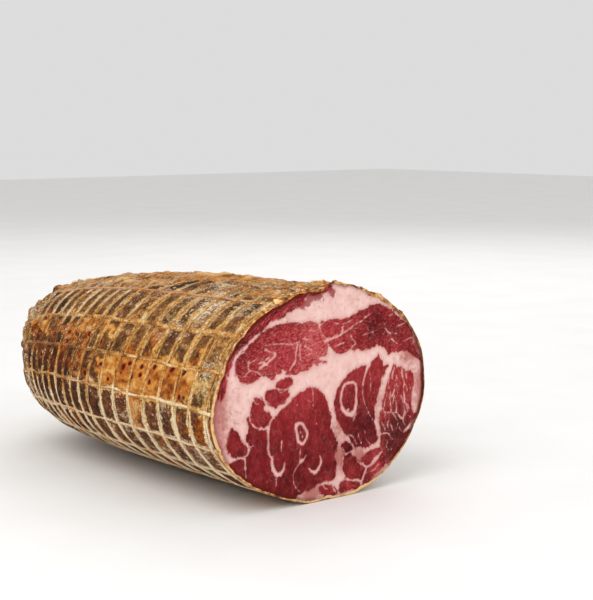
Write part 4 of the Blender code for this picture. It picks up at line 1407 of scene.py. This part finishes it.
def casing_finish():
    """The dried casing: dark panels in crusted borders, amber and rust fat, ridges and powder, with painted
    shade beside the strands and painted light and shade on the top's lumps.
    """
    f = Finish("dried_casing", 0.75, 0.1)
    low, top, powdered, pit = f.look("low"), f.look("top"), f.look("powder"), f.look("pit")
    blotch = f.uneven(1.2, 5.0, 4.0, 0.62, (1.6, 1.0, 1.0))
    streaks = f.uneven(1.2, 2.6, 5.0, 0.66, (1.2, 5.0, 2.0), None, 0.8, 0.35)
    grain = f.uneven(1.0, 2.0, 5.0, 0.72)
    fine = f.uneven(1.0, 0.9, 3.0, 0.7)
    warm = f.uneven(1.0, 3.4, 4.0, 0.65, (1.0, 1.3, 1.0), None, 0.6)
    crumb = f.uneven(1.0, 1.8, 4.0, 0.68, (1.5, 1.0, 1.0), None, 0.8)
    thread = f.uneven(1.0, 2.4, 5.0, 0.72, (1.4, 1.0, 1.0), None, 1.0)
    deep = f.look("deep") * -1.0
    edge = blotch * 1.2 + grain * 0.8
    is_amber = (f.look("amber") + edge).between(0.36, 0.5)
    plain = 1.0 - is_amber * 0.75

    tone = 0.34 + (f.look("own") - 0.5) * 0.3 + grain * 1.8 + blotch * 1.2 + fine * 0.6 + deep
    dark = f.ramp(tone, [
        (0.0, (52, 27, 12)), (0.3, (104, 65, 33)), (0.55, (152, 102, 52)), (0.8, (198, 146, 80)),
        (1.0, (226, 188, 134))])
    maroon = f.ramp(tone, [
        (0.0, (50, 22, 8)), (0.3, (96, 51, 25)), (0.6, (140, 85, 47)), (0.85, (186, 134, 84)),
        (1.0, (222, 188, 144))])
    rust = f.ramp(tone + 0.14, [
        (0.0, (64, 24, 4)), (0.3, (128, 58, 10)), (0.55, (178, 98, 28)), (0.8, (208, 142, 62)),
        (1.0, (224, 182, 116))])
    # On the top the tone rises with hump and lump: lighter on the crests of the cells and lumps and darker
    # between them, painted light and shade over the ridges' own streaks and grain.
    ridge_tone = (0.43 + (f.look("hump") - 0.5) * 0.4 + f.look("lump") * 0.32 + deep
                  + streaks * 0.9 + grain * 1.2 + blotch * 1.1)
    ridged = f.ramp(ridge_tone, [
        (0.08, (58, 32, 14)), (0.28, (120, 72, 30)), (0.5, (184, 118, 54)), (0.75, (206, 146, 82)),
        (1.0, (222, 180, 124))])
    amber = f.ramp(0.49 + blotch * 1.7 + grain * 0.7, [
        (0.15, (104, 42, 8)), (0.36, (162, 86, 26)), (0.52, (192, 120, 48)), (0.68, (210, 150, 72)),
        (0.9, (228, 184, 118))])
    mould = f.ramp(tone, [(0.1, (74, 56, 24)), (0.4, (162, 132, 66)), (0.7, (222, 194, 128))])
    core = (pit + grain * 1.2).between(0.45, 0.8)
    crack = (grain + blotch * 0.5).between(-0.12, -0.22)
    colour = f.coats(
        dark, (low, maroon), (warm.between(0.0, 0.12) * 0.5, (112, 58, 38)),
        (warm.between(-0.05, -0.16) * 0.3, (164, 128, 66)),
        ((f.look("rust") + edge).between(0.3, 0.6), rust), ((top + edge).between(0.3, 0.7), ridged),
        (is_amber, amber), ((f.look("mould") + edge).between(0.35, 0.7) * 0.5, mould),
        (pit.between(0.04, 0.5) * 0.6, (196, 92, 30)), (core, (78, 20, 8)), (crack * 0.6, (46, 24, 12)))

    ragged = f.look("clear") + grain * 7.0 + blotch * 3.4
    border = ragged.between(0.4, -0.5) * plain * (1.0 - top * 0.65)
    gold = f.ramp(0.52 + fine * 1.7 + low * 0.32, [
        (0.1, (134, 82, 32)), (0.4, (200, 144, 66)), (0.65, (230, 190, 118)), (0.9, (244, 224, 184))])
    # Painted shade: a thin dark line just beside each strand, where the strand shades the skin.
    beside = f.look("gap") + fine * 2.2 + blotch * 1.4
    bare = deep.at_most(0.0)
    white_at = powdered * 0.5 + border * 0.1 + crumb * 1.4 + fine * 1.3 + bare
    thin = (thread * thread).between(0.0012, 0.0002)
    frosted = (powdered * 0.8 + blotch * 2.6 + bare).between(0.5, 0.8)
    powder = white_at.between(0.44, 0.58).at_least(thin * frosted) * plain
    colour = f.coats(colour, (border * 0.9, gold), (beside.between(1.3, 0.9) * 0.4, (70, 40, 22)),
                     (powder * 0.85, (246, 222, 188)))
    height = grain * 1.0 + streaks * 0.8 + border * 0.3 + powder * 0.25 + core * -0.8
    return f.done(colour, height, 1.0)


def rim_finish():
    """The casing's cut edge: dark brown to tan and orange by its place round the cut; its dark brown
    stretches are partly painted shadow between the torn flakes.
    """
    f = Finish("casing_edge", 0.6, 0.2)
    # Low values give dark brown: the edge's own colour, and partly painted shadow between the torn flakes.
    value = f.look("bright") + 0.05 + f.uneven(1.6, 1.2, 5.0, 0.72) + f.uneven(1.8, 4.0, 3.0, 0.6)
    tan = f.ramp(value, [
        (0.05, (70, 26, 16)), (0.35, (144, 80, 40)), (0.6, (200, 138, 78)), (0.85, (230, 186, 130))])
    amber = f.ramp(value, [
        (0.15, (74, 30, 14)), (0.4, (156, 86, 34)), (0.65, (220, 146, 70)), (0.9, (244, 204, 144))])
    behind = f.look("out").between(0.3, 0.1)
    colour = f.coats(tan, (f.look("torn"), amber), (behind * 0.7, (122, 82, 50)))
    return f.done(colour, f.speckle(0.8, 4.0, 0.65), 0.3, 0.8)


def crumb_finish():
    """Flecks of crust: cream white to golden brown, fleck by fleck."""
    f = Finish("crust_flecks", 0.85, 0.15)
    colour = f.ramp(f.look("pale") + f.uneven(0.8, 0.8, 3.0, 0.7), [
        (0.0, (118, 74, 38)), (0.3, (192, 142, 80)), (0.55, (222, 188, 138)), (0.85, (244, 224, 192))])
    return f.done(colour, f.speckle(0.4, 3.0, 0.7), 0.15, 0.7)


def yarn_finish():
    """The yarn: cream where bleached, tan to orange-brown elsewhere, with twist and fuzz, and painted shade
    in the grooves of the twist.
    """
    f = Finish("net_yarn", 0.85, 0.25)
    value = f.look("bleach") + f.uneven(1.2, 4.0, 4.0, 0.65) + f.uneven(1.8, 1.2, 3.0, 0.7)
    colour = f.ramp(value, [
        (0.05, (106, 60, 24)), (0.3, (182, 118, 48)), (0.5, (214, 156, 76)), (0.72, (236, 196, 134)),
        (1.0, (252, 232, 194))])
    twisted = f.moved(f.put("ShaderNodeUVMap", uv_map="run"), Scale=(1400.0, 2.0, 1.0))
    waves = f.put("ShaderNodeTexWave", {"Vector": twisted, "Scale": 0.5, "Distortion": 0.6, "Detail": 2.0},
                  out="Fac", bands_direction="DIAGONAL")
    # Painted shade: the twist's grooves, where its waves are low, are darkened towards brown.
    colour = f.coats(colour, (f.look("pink") * 0.3, (204, 128, 88)),
                     (waves.between(0.45, 0.0) * 0.4, (104, 70, 40)))
    return f.done(colour, waves + f.speckle(0.35, 3.0, 0.7), 0.2, 0.8)


def floor_finish():
    """A plain pale floor with a barely mottled matt surface."""
    f = Finish("pale_floor", 0.8, 0.2)
    return f.done(f.ramp(f.speckle(60.0, 3.0, 0.5), [(0.3, (236, 235, 233)), (0.7, (240, 239, 237))]))


# The setting

def make_floor(half=3.0):
    """A flat square of floor, reaching half its width each way from the middle."""
    mesh = bpy.data.meshes.new("floor")
    corners = [(-half, -half, 0.0), (half, -half, 0.0), (half, half, 0.0), (-half, half, 0.0)]
    mesh.from_pydata(corners, [], [(0, 1, 2, 3)])
    mesh.materials.append(floor_finish())
    floor = bpy.data.objects.new("floor", mesh)
    bpy.context.scene.collection.objects.link(floor)


def make_lamp(name, place, aim, size, power):
    """A soft square lamp at a place, turned to face its aim."""
    lamp = bpy.data.lights.new(name, "AREA")
    lamp.size = size
    lamp.energy = power
    item = bpy.data.objects.new(name, lamp)
    item.location = place
    item.rotation_euler = (Vector(aim) - Vector(place)).to_track_quat("-Z", "Y").to_euler()
    bpy.context.scene.collection.objects.link(item)


def make_world(strength):
    """Even pale light from all round."""
    world = bpy.data.worlds.new("soft_room")
    world.use_nodes = True
    back = world.node_tree.nodes["Background"]
    back.inputs["Color"].default_value = (1.0, 1.0, 1.0, 1.0)
    back.inputs["Strength"].default_value = strength
    bpy.context.scene.world = world


def make_camera():
    """The camera: looking at the cut face and the netted flank from a little above."""
    azimuth, elevation, away = math.radians(49.68), math.radians(6.87), 0.6315
    level = math.cos(elevation)
    back = Vector((math.sin(azimuth) * level, -math.cos(azimuth) * level, math.sin(elevation)))
    target = Vector((98.93, -8.175, 85.81)) * MM
    camera = bpy.data.cameras.new("camera")
    camera.sensor_fit = "HORIZONTAL"
    camera.sensor_width = 36.0
    camera.lens = 91.06
    camera.clip_start = 0.01
    item = bpy.data.objects.new("camera", camera)
    item.location = target + back * away
    item.rotation_euler = (-back).to_track_quat("-Z", "Y").to_euler()
    bpy.context.scene.collection.objects.link(item)
    bpy.context.scene.camera = item


def main():
    """Make the meat's pieces, the net's pieces and the setting."""
    skin = casing_finish()
    make_cut_face(cut_meat_finish())
    make_casing("casing_front", 0.0, JOIN_AT, skin)
    make_casing("casing_rear", JOIN_AT, POLE_AT, skin)
    edge = rim_finish()
    make_rim(edge)
    make_flaps(edge)
    make_crumbs(crumb_finish())
    yarn = yarn_finish()
    make_hoops(yarn)
    make_cords(yarn)
    make_fuzz(yarn)
    make_floor()
    make_world(0.72)
    make_lamp("key", (0.35, -0.9, 1.0), (0.0, 0.0, 0.04), 1.0, 9.0)
    make_lamp("front", (1.3, -0.1, 0.7), (0.1, 0.0, 0.04), 0.9, 3.2)
    make_lamp("back", (-0.6, 0.8, 0.9), (0.0, 0.0, 0.04), 0.8, 4.0)
    make_camera()
    bpy.context.scene.view_settings.view_transform = "Standard"


main()
